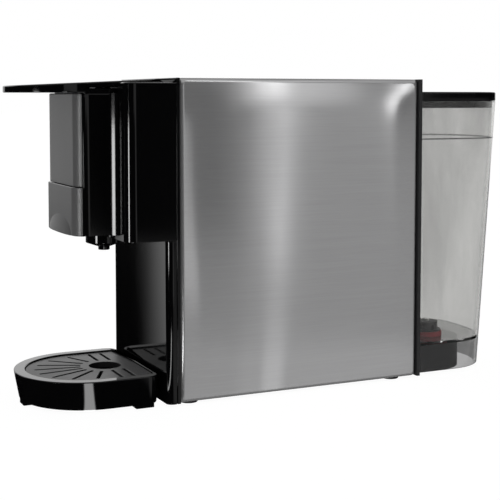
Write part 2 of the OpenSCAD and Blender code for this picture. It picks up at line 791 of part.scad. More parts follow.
// Lever: a sloping plate with a half-round tip, a thicker grip in front and a
// hinge barrel at its rear
module lever() {
    grip_rear = -head_reach + head_ledge_d - grip_gap;
    tip = -lever_reach;
    profile = [[tip, grip_z], [grip_rear, grip_z], [grip_rear, lever_under(grip_rear)],
        [pivot_y, lever_under(pivot_y)], [pivot_y, lever_under(pivot_y) + lever_t],
        [tip, lever_under(tip) + lever_t]];
    color("black") placed() difference() {
        union() {
            intersection() {
                translate([-lever_w / 2, 0, 0]) rotate([90, 0, 90])
                    linear_extrude(lever_w) polygon(profile);
                linear_extrude(2 * machine_h) {
                    translate([0, tip + lever_w / 2]) circle(lever_w / 2);
                    translate([-lever_w / 2, tip + lever_w / 2])
                        square([lever_w, pivot_y - tip - lever_w / 2]);
                }
            }
            translate([-lever_w / 2, pivot_y, pivot_z]) rotate([0, 90, 0])
                cylinder(r = barrel_r, h = lever_w);
        }
        translate([-lever_w / 2 - 1, pivot_y, pivot_z]) rotate([0, 90, 0])
            cylinder(r = pin_r + run_clearance, h = lever_w + 2);
    }
}

// Steel hinge pin of the lever
module lever_pin() {
    color("silver") placed() translate([-machine_w / 2 + 2 * skin, pivot_y, pivot_z])
        rotate([0, 90, 0]) cylinder(r = pin_r, h = machine_w - 4 * skin);
}

// Front of the capsule holder with its swelling pull lip
module holder_front() {
    face = head_reach + holder_proud;
    color("dimgray") placed() difference() {
        union() {
            translate([0, 0, head_bottom]) linear_extrude(holder_h) difference() {
                front_round(head_w + 2 * holder_proud, face, 0, head_r + holder_proud);
                translate([-machine_w / 2, holder_seam_y]) square([machine_w, face]);
            }
            hull() {
                translate([0, -face, head_bottom]) rotate([90, 0, 0]) linear_extrude(eps) intersection() {
                    scale([lip_w / 2 / lip_h, 1]) circle(lip_h, $fn = 2 * HULL_FN);
                    translate([-lip_w / 2, 0]) square([lip_w, lip_h]);
                }
                translate([0, -face, head_bottom]) linear_extrude(1) intersection() {
                    translate([0, lip_circle_r - lip_swell]) circle(lip_circle_r, $fn = 6 * HULL_FN);
                    translate([-lip_w / 2, -lip_swell]) square([lip_w, lip_swell]);
                }
            }
        }
        // Hollow behind the face
        translate([0, 0, head_bottom + skin]) linear_extrude(holder_h - 2 * skin) difference() {
            front_round(head_core_w, head_reach - skin + holder_proud, 0, head_r - skin);
            translate([-machine_w / 2, holder_seam_y - skin]) square([machine_w, face]);
        }
    }
}

lip_circle_r = (pow(lip_w / 2, 2) + pow(lip_swell, 2)) / (2 * lip_swell);

// Sliding body of the capsule holder: base plate, cup and the web to its front
module holder_body() {
    slide_w = head_core_w - 2 * plate_fit;
    plate_z = bay_floor + seat_gap;
    plate_t = skin;
    color("dimgray") placed() difference() {
        union() {
            translate([-slide_w / 2, holder_seam_y, plate_z])
                cube([slide_w, -holder_seam_y - brew_axis + cup_r, plate_t]);
            translate([0, -brew_axis, plate_z]) cylinder(r = cup_r, h = holder_top - plate_z);
            for (side = [-1, 1]) {
                translate([side * (slide_w / 2 - skin / 2) - skin / 2, holder_seam_y, plate_z])
                    cube([skin, -holder_seam_y - brew_axis + cup_r, 10]);
                translate([side * 14 - skin / 2, holder_seam_y, plate_z])
                    cube([skin, -holder_seam_y - brew_axis, 24]);
            }
        }
        translate([0, -brew_axis, basket_z]) cylinder(r = basket_r + basket_t + 0.2, h = holder_h);
        translate([0, -brew_axis, holder_top - basket_t - 0.1])
            cylinder(r = basket_r + basket_t + basket_flange + 0.2, h = holder_h);
        translate([0, -brew_axis, plate_z + plate_t]) cylinder(r = 10, h = holder_h);
        translate([0, -brew_axis, plate_z - 1]) cylinder(r = nozzle_bore_r + 0.6, h = holder_h);
        // Nothing stands in front of the seam to the holder's front
        translate([-machine_w / 2, holder_seam_y - lever_reach, 0])
            cube([machine_w, lever_reach, machine_h]);
    }
}

basket_flange = 2;
basket_z = bay_floor + seat_gap + 2 * skin;

// Pressed steel basket that takes the capsule
module capsule_basket() {
    bottom = basket_z + 0.1;
    color("silver") placed() translate([0, -brew_axis, 0]) difference() {
        rotate_extrude() difference() {
            union() {
                translate([0, bottom]) square([basket_r + basket_t, holder_top - bottom]);
                translate([0, holder_top - basket_t])
                    square([basket_r + basket_t + basket_flange, basket_t]);
            }
            translate([-1, bottom + basket_t]) square([basket_r + 1, holder_h]);
        }
        cylinder(r = 0.8, h = machine_h);
        for (a = [0 : 45 : 315]) rotate([0, 0, a]) translate([7, 0, 0])
            cylinder(r = 0.8, h = machine_h);
    }
}

// Round spout housing with its cone and nozzle
module spout() {
    top = bay_floor + seat_gap;
    color("black") placed() translate([0, -brew_axis, 0]) rotate_extrude()
        polygon([
            [nozzle_bore_r, nozzle_z], [nozzle_r, nozzle_z], [nozzle_r, spout_cone_z],
            [spout_r - 0.6, spout_rim_z - 0.2], [spout_r, spout_rim_z + 0.4],
            [spout_r, top], [nozzle_bore_r, top]]);
}

// Drip tray with a tapering wall, a flat rim and feet of its own
module drip_tray() {
    foot_reach = tray_reach - tray_draft - 0.5;
    color("black") placed() difference() {
        union() {
            hull() {
                translate([0, 0, tray_top - 1]) linear_extrude(1)
                    tray_plan(tray_w, tray_reach, tray_rear_gap, tray_corner_r, $fn = 3 * HULL_FN);
                translate([0, 0, tray_bottom]) linear_extrude(eps)
                    tray_plan(tray_w - tray_draft, tray_reach - tray_draft, tray_rear_gap,
                        tray_corner_r, $fn = 3 * HULL_FN);
            }
            translate([-6, -foot_reach, 0]) cube([12, 8, tray_bottom + 2]);
            for (side = [-1, 1]) {
                translate([side * (tray_w / 2 - tray_draft / 2 - 7) - 5, -21, 0])
                    cube([10, 14, tray_bottom + 2]);
                translate([side * tongue_x - tongue_w / 2, -tray_rear_gap - 2, tongue_z])
                    cube([tongue_w, tray_rear_gap + 2 + frame_y - 1.5, tongue_t]);
            }
        }
        // Basin below the grille's seat
        hull() {
            translate([0, 0, grille_under - seat_gap]) linear_extrude(eps)
                tray_plan(grille_w - 2 * tray_t, grille_reach - tray_t, grille_rear + tray_t, 5,
                    $fn = 2 * HULL_FN);
            translate([0, 0, tray_bottom + tray_t]) linear_extrude(eps)
                tray_plan(grille_w - 4 * tray_t, grille_reach - 2 * tray_t, grille_rear + 2 * tray_t, 5,
                    $fn = 2 * HULL_FN);
        }
        translate([0, 0, grille_under - seat_gap - 2 * eps]) linear_extrude(1)
            tray_plan(grille_w - 2 * tray_t, grille_reach - tray_t, grille_rear + tray_t, 5);
        // Seat of the grille
        translate([0, 0, grille_under - seat_gap]) linear_extrude(tray_top)
            tray_plan(grille_w + 2 * plate_fit, grille_reach + plate_fit, grille_rear - plate_fit, 6);
    }
}

// Grille plate with a drain hole and its fan of slots
module drip_grille() {
    slot_end_r = grille_w / 2 - slot_margin;
    centre_y = -grille_reach + grille_w / 2;
    drain_y = -brew_axis;
    // Distance from the drain to the ring of slot ends, along a direction
    function slot_end(a) =
        let (offset = drain_y - centre_y)
        offset * cos(a) + sqrt(pow(slot_end_r, 2) - pow(offset * sin(a), 2)) - slot_w / 2;
    color("dimgray") placed() translate([0, 0, grille_under]) {
        linear_extrude(grille_t) difference() {
            tray_plan(grille_w, grille_reach, grille_rear, 6);
            translate([0, drain_y]) circle(drain_r);
            for (a = fan_angles, side = [-1, 1]) translate([0, drain_y])
                rotate(-90 + side * a) slot(slot_start + slot_w / 2, slot_end(a), slot_w);
            for (row = [0, 1], side = [0, 180]) translate([0, drain_y + row * cross_pitch])
                rotate(side) slot(slot_start - row * 1.5, grille_w / 2 - slot_margin + 2, slot_w);
        }
        // Lip round the drain
        translate([0, drain_y, -2]) linear_extrude(2 + eps) difference() {
            circle(drain_r + 1.6);
            circle(drain_r);
        }
    }
}

// Clear tapering tank with a raised water floor and a skirt over the plinth
module water_tank() {
    module body(inset, z0, z1) {
        hull() for (z = [z0, z1 - eps]) {
            t = (tank_top - z) / (tank_top - tank_bottom);
            translate([0, inset, z]) linear_extrude(eps)
                tank_plan(tank_w - 2 * inset - 2 * t * tank_side_draft,
                    tank_d - 2 * inset - t * tank_rear_draft,
                    max(tank_front_r - inset, 1), tank_r - inset, $fn = 2 * HULL_FN);
        }
    }
    color("lightgray", 0.5) placed() difference() {
        union() {
            difference() {
                translate([0, tank_y, 0]) body(0, tank_bottom, tank_top);
                translate([0, tank_y, 0]) body(tank_t, tank_floor, tank_top + 1);
                translate([0, tank_y, 0])
                    body(tank_t, tank_bottom - 1, tank_floor - tank_floor_t);
            }
            translate([valve_x, valve_y, boss_bottom]) cylinder(r = spigot_r, h = tank_floor - boss_bottom);
            // Full mark, a fine raised line
            translate([0, tank_y, 0]) difference() {
                body(-mark_t, full_mark_z, full_mark_z + 2 * mark_t);
                body(tank_t / 2, full_mark_z - 1, full_mark_z + 1 + 2 * mark_t);
                translate([-tank_w, -tank_t, 0]) cube([2 * tank_w, 2 * tank_t, machine_h]);
            }
        }
        translate([valve_x, valve_y, 0]) cylinder(r = cage_r + run_clearance, h = tank_top);
        // Gap in the skirt's front for the plinth
        translate([-plinth_w / 2 - plinth_clearance, tank_y - 1, 0])
            cube([plinth_w + 2 * plinth_clearance, tank_front_r + 1, tank_floor - tank_floor_t]);
        // Notch in the skirt for the cable gland
        translate([-tank_w / 2 - 1, notch_y - notch_w / 2, 0])
            cube([tank_t + tank_side_draft + 3, notch_w, gland_z + notch_w / 2]);
    }
}

// Lid with a skirt that sits inside the tank's edge
module tank_lid() {
    inset = tank_t + lid_clearance;
    color("black") placed() translate([0, tank_y, 0]) {
        translate([0, 0, lid_z]) linear_extrude(lid_t)
            tank_plan(tank_w, tank_d, tank_front_r, tank_r);
        translate([0, inset, lid_z - lid_skirt]) linear_extrude(lid_skirt + eps) difference() {
            tank_plan(tank_w - 2 * inset, tank_d - 2 * inset, tank_front_r - tank_t, tank_r - inset);
            translate([0, tank_t]) tank_plan(tank_w - 2 * inset - 2 * tank_t, tank_d - 2 * inset - 2 * tank_t,
                1, tank_r - inset - tank_t);
        }
    }
}

// Cage of the tank's outlet valve, with the windows of its strainer
module valve_cage() {
    flange_z = tank_floor + gasket_h;
    window_z = flange_z + 1.5;
    color("dimgray") placed() translate([valve_x, valve_y, 0]) difference() {
        rotate_extrude() difference() {
            union() {
                translate([0, cage_bottom]) square([cage_r, cage_top - cage_bottom]);
                translate([0, flange_z]) square([spigot_r, 1.5]);
            }
            translate([-1, cage_bottom + skin])
                square([cage_r - skin + 1, cage_top - cage_bottom - 2 * skin]);
            translate([-1, cage_bottom - 1]) square([plunger_r + 1.2 + 1, 2 * skin]);
            translate([-1, cage_bottom]) square([plunger_r + run_clearance + 1, cage_top]);
        }
        for (a = [0, 60, 120]) rotate([0, 0, a])
            translate([-cage_r - 1, -1.2, window_z])
                cube([2 * cage_r + 2, 2.4, cage_top - skin - window_z]);
    }
}

// Red gasket between the tank's floor and the cage's flange
module valve_seal() {
    color("crimson") placed() translate([valve_x, valve_y, tank_floor]) rotate_extrude()
        translate([cage_r + run_clearance, 0]) square([spigot_r + 1 - cage_r - run_clearance, gasket_h]);
}

// Sprung plunger that shuts the tank's outlet
module valve_plunger() {
    seat = cage_bottom + skin;
    color("white") placed() translate([valve_x, valve_y, 0]) {
        translate([0, 0, seat + seat_gap]) cylinder(r = cage_r - skin - 1, h = 1.6);
        translate([0, 0, cage_bottom + 0.5]) cylinder(r = plunger_r, h = cage_top + 1 - cage_bottom);
    }
}

// Closing spring of the plunger
module valve_spring() {
    low = cage_bottom + skin + seat_gap + 1.6;
    color("silver") placed() translate([valve_x, valve_y, low])
        coil_spring(plunger_r + 1.4, 0.4, cage_top - skin - low, 6);
}

// Rubber socket in the plinth that takes the tank's spigot
module valve_socket() {
    color("gray") placed() translate([valve_x, valve_y, 0]) difference() {
        translate([0, 0, socket_floor]) cylinder(r = socket_r, h = plinth_top - socket_floor - 0.2);
        translate([0, 0, socket_floor + skin]) cylinder(r = spigot_r + seat_gap, h = plinth_top);
        translate([0, 0, socket_floor - 1]) cylinder(r = hose_r / 2, h = plinth_top);
    }
}

// Round cup button with a flange under the cover and a stem to its switch
module cup_button(x) {
    cap = 4;
    flange = 1.2;
    stem_z = switch_top + button_travel + seat_gap;
    placed() translate([x, button_y, 0]) {
        translate([0, 0, machine_h - cap]) cylinder(r = button_r, h = cap);
        translate([0, 0, cover_top - skin - seat_gap - flange])
            cylinder(r = button_r + 1.5, h = flange);
        translate([0, 0, stem_z]) cylinder(r = 3, h = machine_h - cap - stem_z + eps);
    }
}

module cup_button_small() {
    color("silver") cup_button(-button_pitch / 2);
}

module cup_button_large() {
    color("silver") cup_button(button_pitch / 2);
}

// Circuit board with the two button switches, the relay and its capacitor
module control_board() {
    under = board_z + eps;
    color("darkgreen") placed() {
        difference() {
            translate([-board_size.x / 2, board_front, board_z]) cube(board_size);
            for (p = board_screw_places) translate([p.x, p.y, board_z - 1])
                cylinder(r = screw_r + 0.1, h = board_size.z + 2);
        }
        for (side = [-1, 1])
            translate([side * button_pitch / 2, button_y, board_z + board_size.z - eps]) {
                translate([-switch_w / 2, -switch_w / 2, 0]) cube([switch_w, switch_w, switch_h - 1]);
                cylinder(r = 1.6, h = switch_h);
            }
        translate([-board_size.x / 2 + board_margin, board_front + board_size.y / 2, under - relay_size.z])
            cube(relay_size);
        translate([capacitor_r, board_front + 2 * board_size.y / 3, under - capacitor_h])
            cylinder(r = capacitor_r, h = capacitor_h);
        translate([board_size.x / 2 - board_margin - driver_size.x, board_front + board_size.y / 2,
            under - driver_size.z]) cube(driver_size);
    }
}

// Places on the board, its hangers' inset and what is soldered on it
board_front = button_y - 14;
board_z = cover_top - board_drop;
board_margin = 10;
hanger_inset = 4;
switch_w = 6;
switch_h = 4;
switch_top = board_z + board_size.z + switch_h;
relay_size = [20, 16, 14];
driver_size = [16, 12, 10];
capacitor_r = 6;
capacitor_h = 18;
board_screw_places = [for (x = [-1, 1], y = [hanger_inset, board_size.y - hanger_inset])
    [x * (board_size.x / 2 - hanger_inset), board_front + y]];

// Screws and pillars that hang the board from the top cover
module board_screws() {
    color("silver") placed() for (p = board_screw_places) translate([p.x, p.y, 0]) {
        translate([0, 0, board_z - 2]) cylinder(r = 2.6, h = 2);
        translate([0, 0, board_z - 1]) cylinder(r = screw_r, h = board_size.z + 2);
        translate([0, 0, board_z + board_size.z]) cylinder(r = 3, h = cover_top - skin - board_z - board_size.z);
    }
}

// Solenoid coil housing of the vibration pump
module pump_coil() {
    color("steelblue") placed() translate([0, pump_y, pump_z]) difference() {
        union() {
            rotate([90, 0, 0]) cylinder(r = pump_r - 2, h = pump_len, center = true);
            for (y = [-1, 1]) translate([0, y * (pump_len / 2 - 1), 0]) rotate([90, 0, 0])
                cylinder(r = pump_r, h = 2, center = true);
            translate([-8, -8, pump_r - 4]) cube([16, 16, 7]);
        }
        rotate([90, 0, 0]) cylinder(r = pump_tube_r, h = pump_len + 2, center = true);
    }
}

// Pump tube with its inlet and outlet stubs
module pump_body() {
    color("white") placed() translate([0, pump_y, pump_z]) rotate([90, 0, 0]) difference() {
        union() {
            cylinder(r = pump_tube_r - 0.1, h = pump_len + 2 * pump_ends[0], center = true);
            for (side = [0, 1]) mirror([0, 0, side])
                translate([0, 0, pump_len / 2 + pump_ends[0] - pump_collar[1]])
                    cylinder(r = pump_collar[0], h = pump_collar[1]);
            cylinder(r = hose_r / 2 - 0.1, h = pump_len + 2 * pump_ends[2], center = true);
        }
        cylinder(r = 0.7, h = pump_len + 3 * pump_ends[2], center = true);
    }
}

// Rubber mounts that carry the pump on the base
module pump_mounts() {
    color("black") placed() for (side = [-1, 1])
        translate([0, pump_y + side * (pump_len / 2 + pump_mount_d), 0]) difference() {
            translate([-pump_r, -pump_collar[1] / 2, floor_z + mount_pad_h])
                cube([2 * pump_r, pump_collar[1], pump_z + pump_mount_h - floor_z - mount_pad_h]);
            translate([0, 0, pump_z]) rotate([90, 0, 0])
                cylinder(r = pump_collar[0] + 0.1, h = pump_collar[1] + 2, center = true);
        }
}

// Steel strap of the pump
module pump_bracket() {
    reach = pump_r + 1.8;
    color("silver") placed() translate([0, pump_y, 0]) difference() {
        union() {
            translate([-reach, -pump_len / 2 - 1.7, pump_z - reach]) cube([2 * reach, pump_len + 3.4, 2 * reach]);
        }
        translate([-reach + 1.2, -pump_len / 2 - 0.3, pump_z - reach - 1]) cube([2 * reach - 2.4, pump_len + 0.6, 2 * reach + 2]);
        translate([0, 0, pump_z]) rotate([90, 0, 0]) cylinder(r = 8.4, h = pump_len + 20, center = true);
    }
}

// Flow meter on the base, between the tank and the pump
module flow_meter() {
    color("whitesmoke") placed() translate([meter_x, meter_y, floor_z]) {
        cylinder(r = meter_size[0], h = meter_size[1]);
        translate([0, 0, meter_size[1] - eps]) cylinder(r = meter_size[2], h = meter_size[3]);
        for (side = [-1, 1]) translate([0, side * (meter_size[0] - 1), hose_axis_z - floor_z])
            rotate([-90 * side, 0, 0]) cylinder(r = hose_r / 2 - 0.1, h = hose_socket - 1);
    }
}

meter_x = valve_x;
meter_y = rear_y - 30;

// Cast heater block with cooling ribs and its two pipe stubs
module heater_block() {
    w = heater_size.x;
    d = heater_size.y;
    h = heater_size.z;
    count = heater_grooves[0];
    groove_w = heater_grooves[1];
    groove_d = heater_grooves[2];
    color("lightgray") placed() translate([0, heater_y, heater_z]) {
        difference() {
            linear_extrude(h) translate([0, d / 2]) round_rect(w, d, 8);
            for (i = [1 : count]) translate([-w / 2 - 1, i * d / (count + 1) - groove_w / 2, -1]) {
                cube([groove_d + 1, groove_w, h + 2]);
                translate([w - groove_d + 1, 0, 0]) cube([groove_d + 1, groove_w, h + 2]);
            }
            translate([0, 10, h - 5]) cylinder(r = 6, h = 6);
        }
        translate([0, d - eps, h / 2]) rotate([-90, 0, 0]) cylinder(r = hose_r / 2 - 0.1, h = 8);
        translate([0, -7, h / 2]) rotate([-90, 0, 0]) cylinder(r = hose_r / 2 - 0.1, h = 7 + eps);
        translate([0, 10, h - 5 + eps]) cylinder(r = 5.8, h = 9);
    }
}

heater_y = bulkhead_y + skin + seat_gap + bulkhead_t + heater_gap;

// Bracket that carries the heater on the bulkhead
module heater_bracket() {
    start = bulkhead_y + skin + seat_gap + bulkhead_t;
    w = heater_size.x;
    h = heater_bracket_size[0];
    t = heater_bracket_size[1];
    color("silver") placed() {
        translate([-w / 2, start, heater_z - t]) cube([w, heater_size.y + heater_gap, t - 0.05]);
        translate([-w / 2, start, heater_z - h]) cube([w, t, h - 0.05]);
        for (side = [-1, 1]) translate([side * (w - t) / 2 - t / 2, start, 0]) rotate([90, 0, 90])
            linear_extrude(t) polygon([[0, heater_z - h], [heater_size.y, heater_z - t], [0, heater_z - t]]);
    }
}

// Hoses in the order of the water's way
module suction_hose() {
    color("whitesmoke") placed() hose([
        [valve_x, valve_y, socket_floor], [valve_x, valve_y, hose_axis_z],
        [meter_x, meter_y + meter_size[0] + 1, hose_axis_z]]);
}

module feed_hose() {
    pump_inlet = pump_y + pump_len / 2 + pump_ends[1];
    turn_y = pump_inlet + 16;
    color("whitesmoke") placed() hose([
        [meter_x, meter_y - meter_size[0] - 1, hose_axis_z], [meter_x, turn_y, hose_axis_z],
        [0, turn_y, hose_axis_z], [0, turn_y, pump_z], [0, pump_inlet, pump_z]]);
}

module pressure_hose() {
    pump_outlet = pump_y - pump_len / 2 - pump_ends[1];
    out_y = pump_outlet - hose_socket;
    low_z = pump_z + pump_r + hose_clearance;
    top_z = heater_z + heater_size.z / 2;
    far_y = heater_y + heater_size.y + hose_clearance;
    color("white") placed() hose([
        [0, pump_outlet, pump_z], [0, out_y, pump_z], [0, out_y, low_z],
        [0, far_y, low_z], [0, far_y, top_z], [0, heater_y + heater_size.y + 2, top_z]]);
}

module brew_hose() {
    low_z = heater_z + heater_size.z / 2;
    turn_y = head_back_y + 8;
    color("white") placed() hose([
        [0, heater_y - 2, low_z], [0, turn_y, low_z], [0, turn_y, port_z],
        [0, -brew_axis + guide_outer_r + 0.1, port_z]]);
}

// Bush for the mains cable in the side of the plinth
module cable_gland() {
    color("black") placed() translate([-plinth_w / 2, notch_y, gland_z]) rotate([0, 90, 0]) difference() {
        union() {
            translate([0, 0, -0.9]) cylinder(r = gland_r - 0.05, h = skin + 1.5);
            translate([0, 0, -0.9]) cylinder(r = gland_r + 1.5, h = 0.9 - 0.05);
        }
        translate([0, 0, -2]) cylinder(r = gland_r - 1.6, h = skin + 6);
    }
}

// Rubber feet with pegs in the base plate
module rubber_feet() {
    color("black") placed() for (p = foot_places) translate([p.x, p.y, 0]) {
        cylinder(r = foot_r, h = foot_h);
        translate([0, 0, foot_h - eps]) cylinder(r = foot_peg_r, h = base_t);
    }
}

// Screws that close the base
module base_screws() {
    color("silver") placed() for (p = base_screw_places) translate([p.x, p.y, foot_h - 1.4]) {
        cylinder(r = 2.8, h = 1.4);
        cylinder(r = screw_r, h = 10);
    }
}

base_chassis();
front_column();
upper_housing();
front_frame();
rear_cover();
side_panel_left();
side_panel_right();
top_cover();
bulkhead();
head_housing();
piston_guide();
piston();
piercer_plate();
piston_seal();
return_spring();
lever();
lever_pin();
holder_front();
holder_body();
capsule_basket();
spout();
drip_tray();
drip_grille();
water_tank();
tank_lid();
valve_cage();
valve_seal();
valve_plunger();
valve_spring();
valve_socket();
cup_button_small();
cup_button_large();
control_board();
board_screws();
pump_coil();
pump_body();
pump_mounts();
pump_bracket();
flow_meter();
heater_block();
heater_bracket();
suction_hose();
feed_hose();
pressure_hose();
brew_hose();
cable_gland();
rubber_feet();
base_screws();
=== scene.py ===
import math

import bmesh
import bpy
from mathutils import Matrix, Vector


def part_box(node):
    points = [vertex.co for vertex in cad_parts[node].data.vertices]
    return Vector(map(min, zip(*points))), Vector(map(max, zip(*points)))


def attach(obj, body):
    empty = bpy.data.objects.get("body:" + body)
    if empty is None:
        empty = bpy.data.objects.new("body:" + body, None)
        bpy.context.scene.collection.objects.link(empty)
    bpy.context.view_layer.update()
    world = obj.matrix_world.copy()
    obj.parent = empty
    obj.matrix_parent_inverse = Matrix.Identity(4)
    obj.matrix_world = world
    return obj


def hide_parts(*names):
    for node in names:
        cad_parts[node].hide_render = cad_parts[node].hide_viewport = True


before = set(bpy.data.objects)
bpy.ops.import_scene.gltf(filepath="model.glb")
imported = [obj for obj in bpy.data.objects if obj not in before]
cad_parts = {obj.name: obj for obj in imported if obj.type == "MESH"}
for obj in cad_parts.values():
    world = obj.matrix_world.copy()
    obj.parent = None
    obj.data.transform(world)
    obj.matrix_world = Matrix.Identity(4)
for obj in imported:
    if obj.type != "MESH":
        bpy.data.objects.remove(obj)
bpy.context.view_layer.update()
print("frame loaded")

mm = 0.001
near = 0.01  # in mm, for edges that lie at a height
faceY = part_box("front_column")[0].y  # face of the lower column, where sizes along Y start
smoothAngle = {"node": 30, "piece": 48}  # degrees


def at(x, y, z):
    return Vector((x * mm, faceY + y * mm, z * mm))


def inMm(point):
    return Vector((point.x / mm, (point.y - faceY) / mm, point.z / mm))


# small modelling helpers, all in mm

def clearSelection():
    if bpy.context.object and bpy.context.object.mode != "OBJECT":
        bpy.ops.object.mode_set(mode="OBJECT")
    bpy.ops.object.select_all(action="DESELECT")


def choose(obj):
    clearSelection()
    obj.select_set(True)
    bpy.context.view_layer.objects.active = obj


def nameNew(name):
    obj = bpy.context.object
    obj.name = obj.data.name = name
    bpy.ops.object.transform_apply(location=True, rotation=True, scale=True)
    return obj


def addBlock(name, low, high):
    clearSelection()
    low, high = at(*low), at(*high)
    bpy.ops.mesh.primitive_cube_add(size=1, location=(low + high) / 2)
    bpy.context.object.scale = high - low
    return nameNew(name)


def addSlab(name, half, front, rear, low, top):
    # a block that reaches as far to the left as to the right
    return addBlock(name, (-half, front, low), (half, rear, top))


def addRod(name, foot, radius, length, sides=64, along="Z"):
    clearSelection()
    x, y, z = foot
    lying = along == "X"
    middle = at(x + length / 2, y, z) if lying else at(x, y, z + length / 2)
    bpy.ops.mesh.primitive_cylinder_add(
        vertices=sides, radius=radius * mm, depth=length * mm, location=middle, rotation=(0, lying * math.pi / 2, 0))
    return nameNew(name)


def pickBy(mode):
    bpy.ops.mesh.select_mode(type=mode)
    bpy.ops.mesh.select_all(action="DESELECT")


def pickAll():
    bpy.ops.mesh.select_all(action="SELECT")


def startEdit(obj, mode="EDGE"):
    choose(obj)
    bpy.ops.object.mode_set(mode="EDIT")
    pickBy(mode)


def editAll(obj):
    startEdit(obj)
    pickAll()


def endEdit():
    bpy.ops.object.mode_set(mode="OBJECT")


def pickVerts(obj, test, flush=False):
    mesh = bmesh.from_edit_mesh(obj.data)
    for vert in mesh.verts:
        vert.select_set(bool(test(inMm(vert.co))))
    if flush:
        mesh.select_flush_mode()
    bmesh.update_edit_mesh(obj.data)


def pickEdges(obj, test):
    mesh = bmesh.from_edit_mesh(obj.data)
    for edge in mesh.edges:
        a, b = (inMm(v.co) for v in edge.verts)
        edge.select_set(bool(test(a, b)) and edge.calc_face_angle(1.0) > 0.05)
    bmesh.update_edit_mesh(obj.data)


def pickFaces(obj, test):
    mesh = bmesh.from_edit_mesh(obj.data)
    for face in mesh.faces:
        face.select_set(False)
    for face in mesh.faces:
        if test(inMm(face.calc_center_median()), face.normal):
            face.select_set(True)
    bmesh.update_edit_mesh(obj.data)


def facesDown(middle, normal):
    return normal.z < -0.9


def above(height):
    return lambda a, b: min(a.z, b.z) > height - near


def below(height):
    return lambda a, b: max(a.z, b.z) < height + near


def faceOutwards():
    pickAll()
    bpy.ops.mesh.normals_make_consistent(inside=False)


def bevelPicked(radius, segments):
    bpy.ops.mesh.bevel(
        offset=radius * mm, offset_type="OFFSET", segments=segments, profile=0.5, affect="EDGES", clamp_overlap=False)


def extrudeBy(x=0, y=0, z=0):
    bpy.ops.mesh.extrude_region_move(TRANSFORM_OT_translate={"value": (x * mm, y * mm, z * mm)})


def insetBy(width, depth=0):
    bpy.ops.mesh.inset(thickness=width * mm, depth=depth * mm)


def roundEdges(obj, test, radius, segments=3):
    startEdit(obj)
    pickEdges(obj, test)
    bevelPicked(radius, segments)
    endEdit()


def roundUprights(obj, test, radius, segments):
    # the edges between the top and the bottom of a block
    roundEdges(obj, lambda a, b: abs(a.z - b.z) > 0.5 and test((a + b) / 2), radius, segments)


def roundFront(obj, front, radius, segments):
    roundUprights(obj, lambda m: m.y < front + 1, radius, segments)


def split(obj, *planes):
    # lines across flat faces, so that no hole lies inside a single face
    for point, normal in planes:
        editAll(obj)
        bpy.ops.mesh.bisect(plane_co=at(*point), plane_no=normal)
        endEdit()


def cutAbove(obj, point, slope):
    # takes off what lies over a plane that rises towards the rear
    editAll(obj)
    bpy.ops.mesh.bisect(
        plane_co=at(*point), plane_no=(0, -math.sin(slope), math.cos(slope)), use_fill=True, clear_outer=True)
    endEdit()


def applyStep(obj, kind, **settings):
    choose(obj)
    step = obj.modifiers.new(kind, kind)
    for key, value in settings.items():
        setattr(step, key, value)
    bpy.ops.object.modifier_apply(modifier=step.name)


def combine(obj, others, how):
    for other in others:
        applyStep(obj, "BOOLEAN", operation=how, object=other, solver="MANIFOLD")
        bpy.data.objects.remove(other)


def cut(obj, *others):
    combine(obj, others, "DIFFERENCE")


def fuse(obj, *others):
    combine(obj, others, "UNION")


def joinAll(parts, name):
    clearSelection()
    for part in parts:
        part.select_set(True)
    bpy.context.view_layer.objects.active = parts[0]
    bpy.ops.object.join()
    parts[0].name = parts[0].data.name = name
    return parts[0]


def soften(obj, width, angle=32):
    applyStep(obj, "BEVEL", width=width * mm, segments=3, limit_method="ANGLE",
              angle_limit=math.radians(angle), use_clamp_overlap=True)


def pick(sizes, names):
    return [sizes[name] for name in names.split()]


def giveFinish(obj, finish, angle):
    choose(obj)
    bpy.ops.object.shade_smooth_by_angle(angle=math.radians(angle))
    obj.data.materials.clear()
    obj.data.materials.append(finish)


def finishPiece(obj, body, slotName, finish, *nodes):
    giveFinish(obj, finish, smoothAngle["piece"])
    applyStep(obj, "WEIGHTED_NORMAL", keep_sharp=True)
    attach(obj, body)
    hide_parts(*nodes)
    print("piece", obj.name, len(obj.data.polygons), "faces")


def finishBlack(obj, body, node):
    finishPiece(obj, body, "black_gloss", blackGloss, node)


def paintRest(obj, finish, test):
    # a second finish on the faces whose normal and middle pass the test
    obj.data.materials.append(finish)
    for face in obj.data.polygons:
        if test(face.normal, face.center):
            face.material_index = 1


# shader helpers and the effects that several finishes share

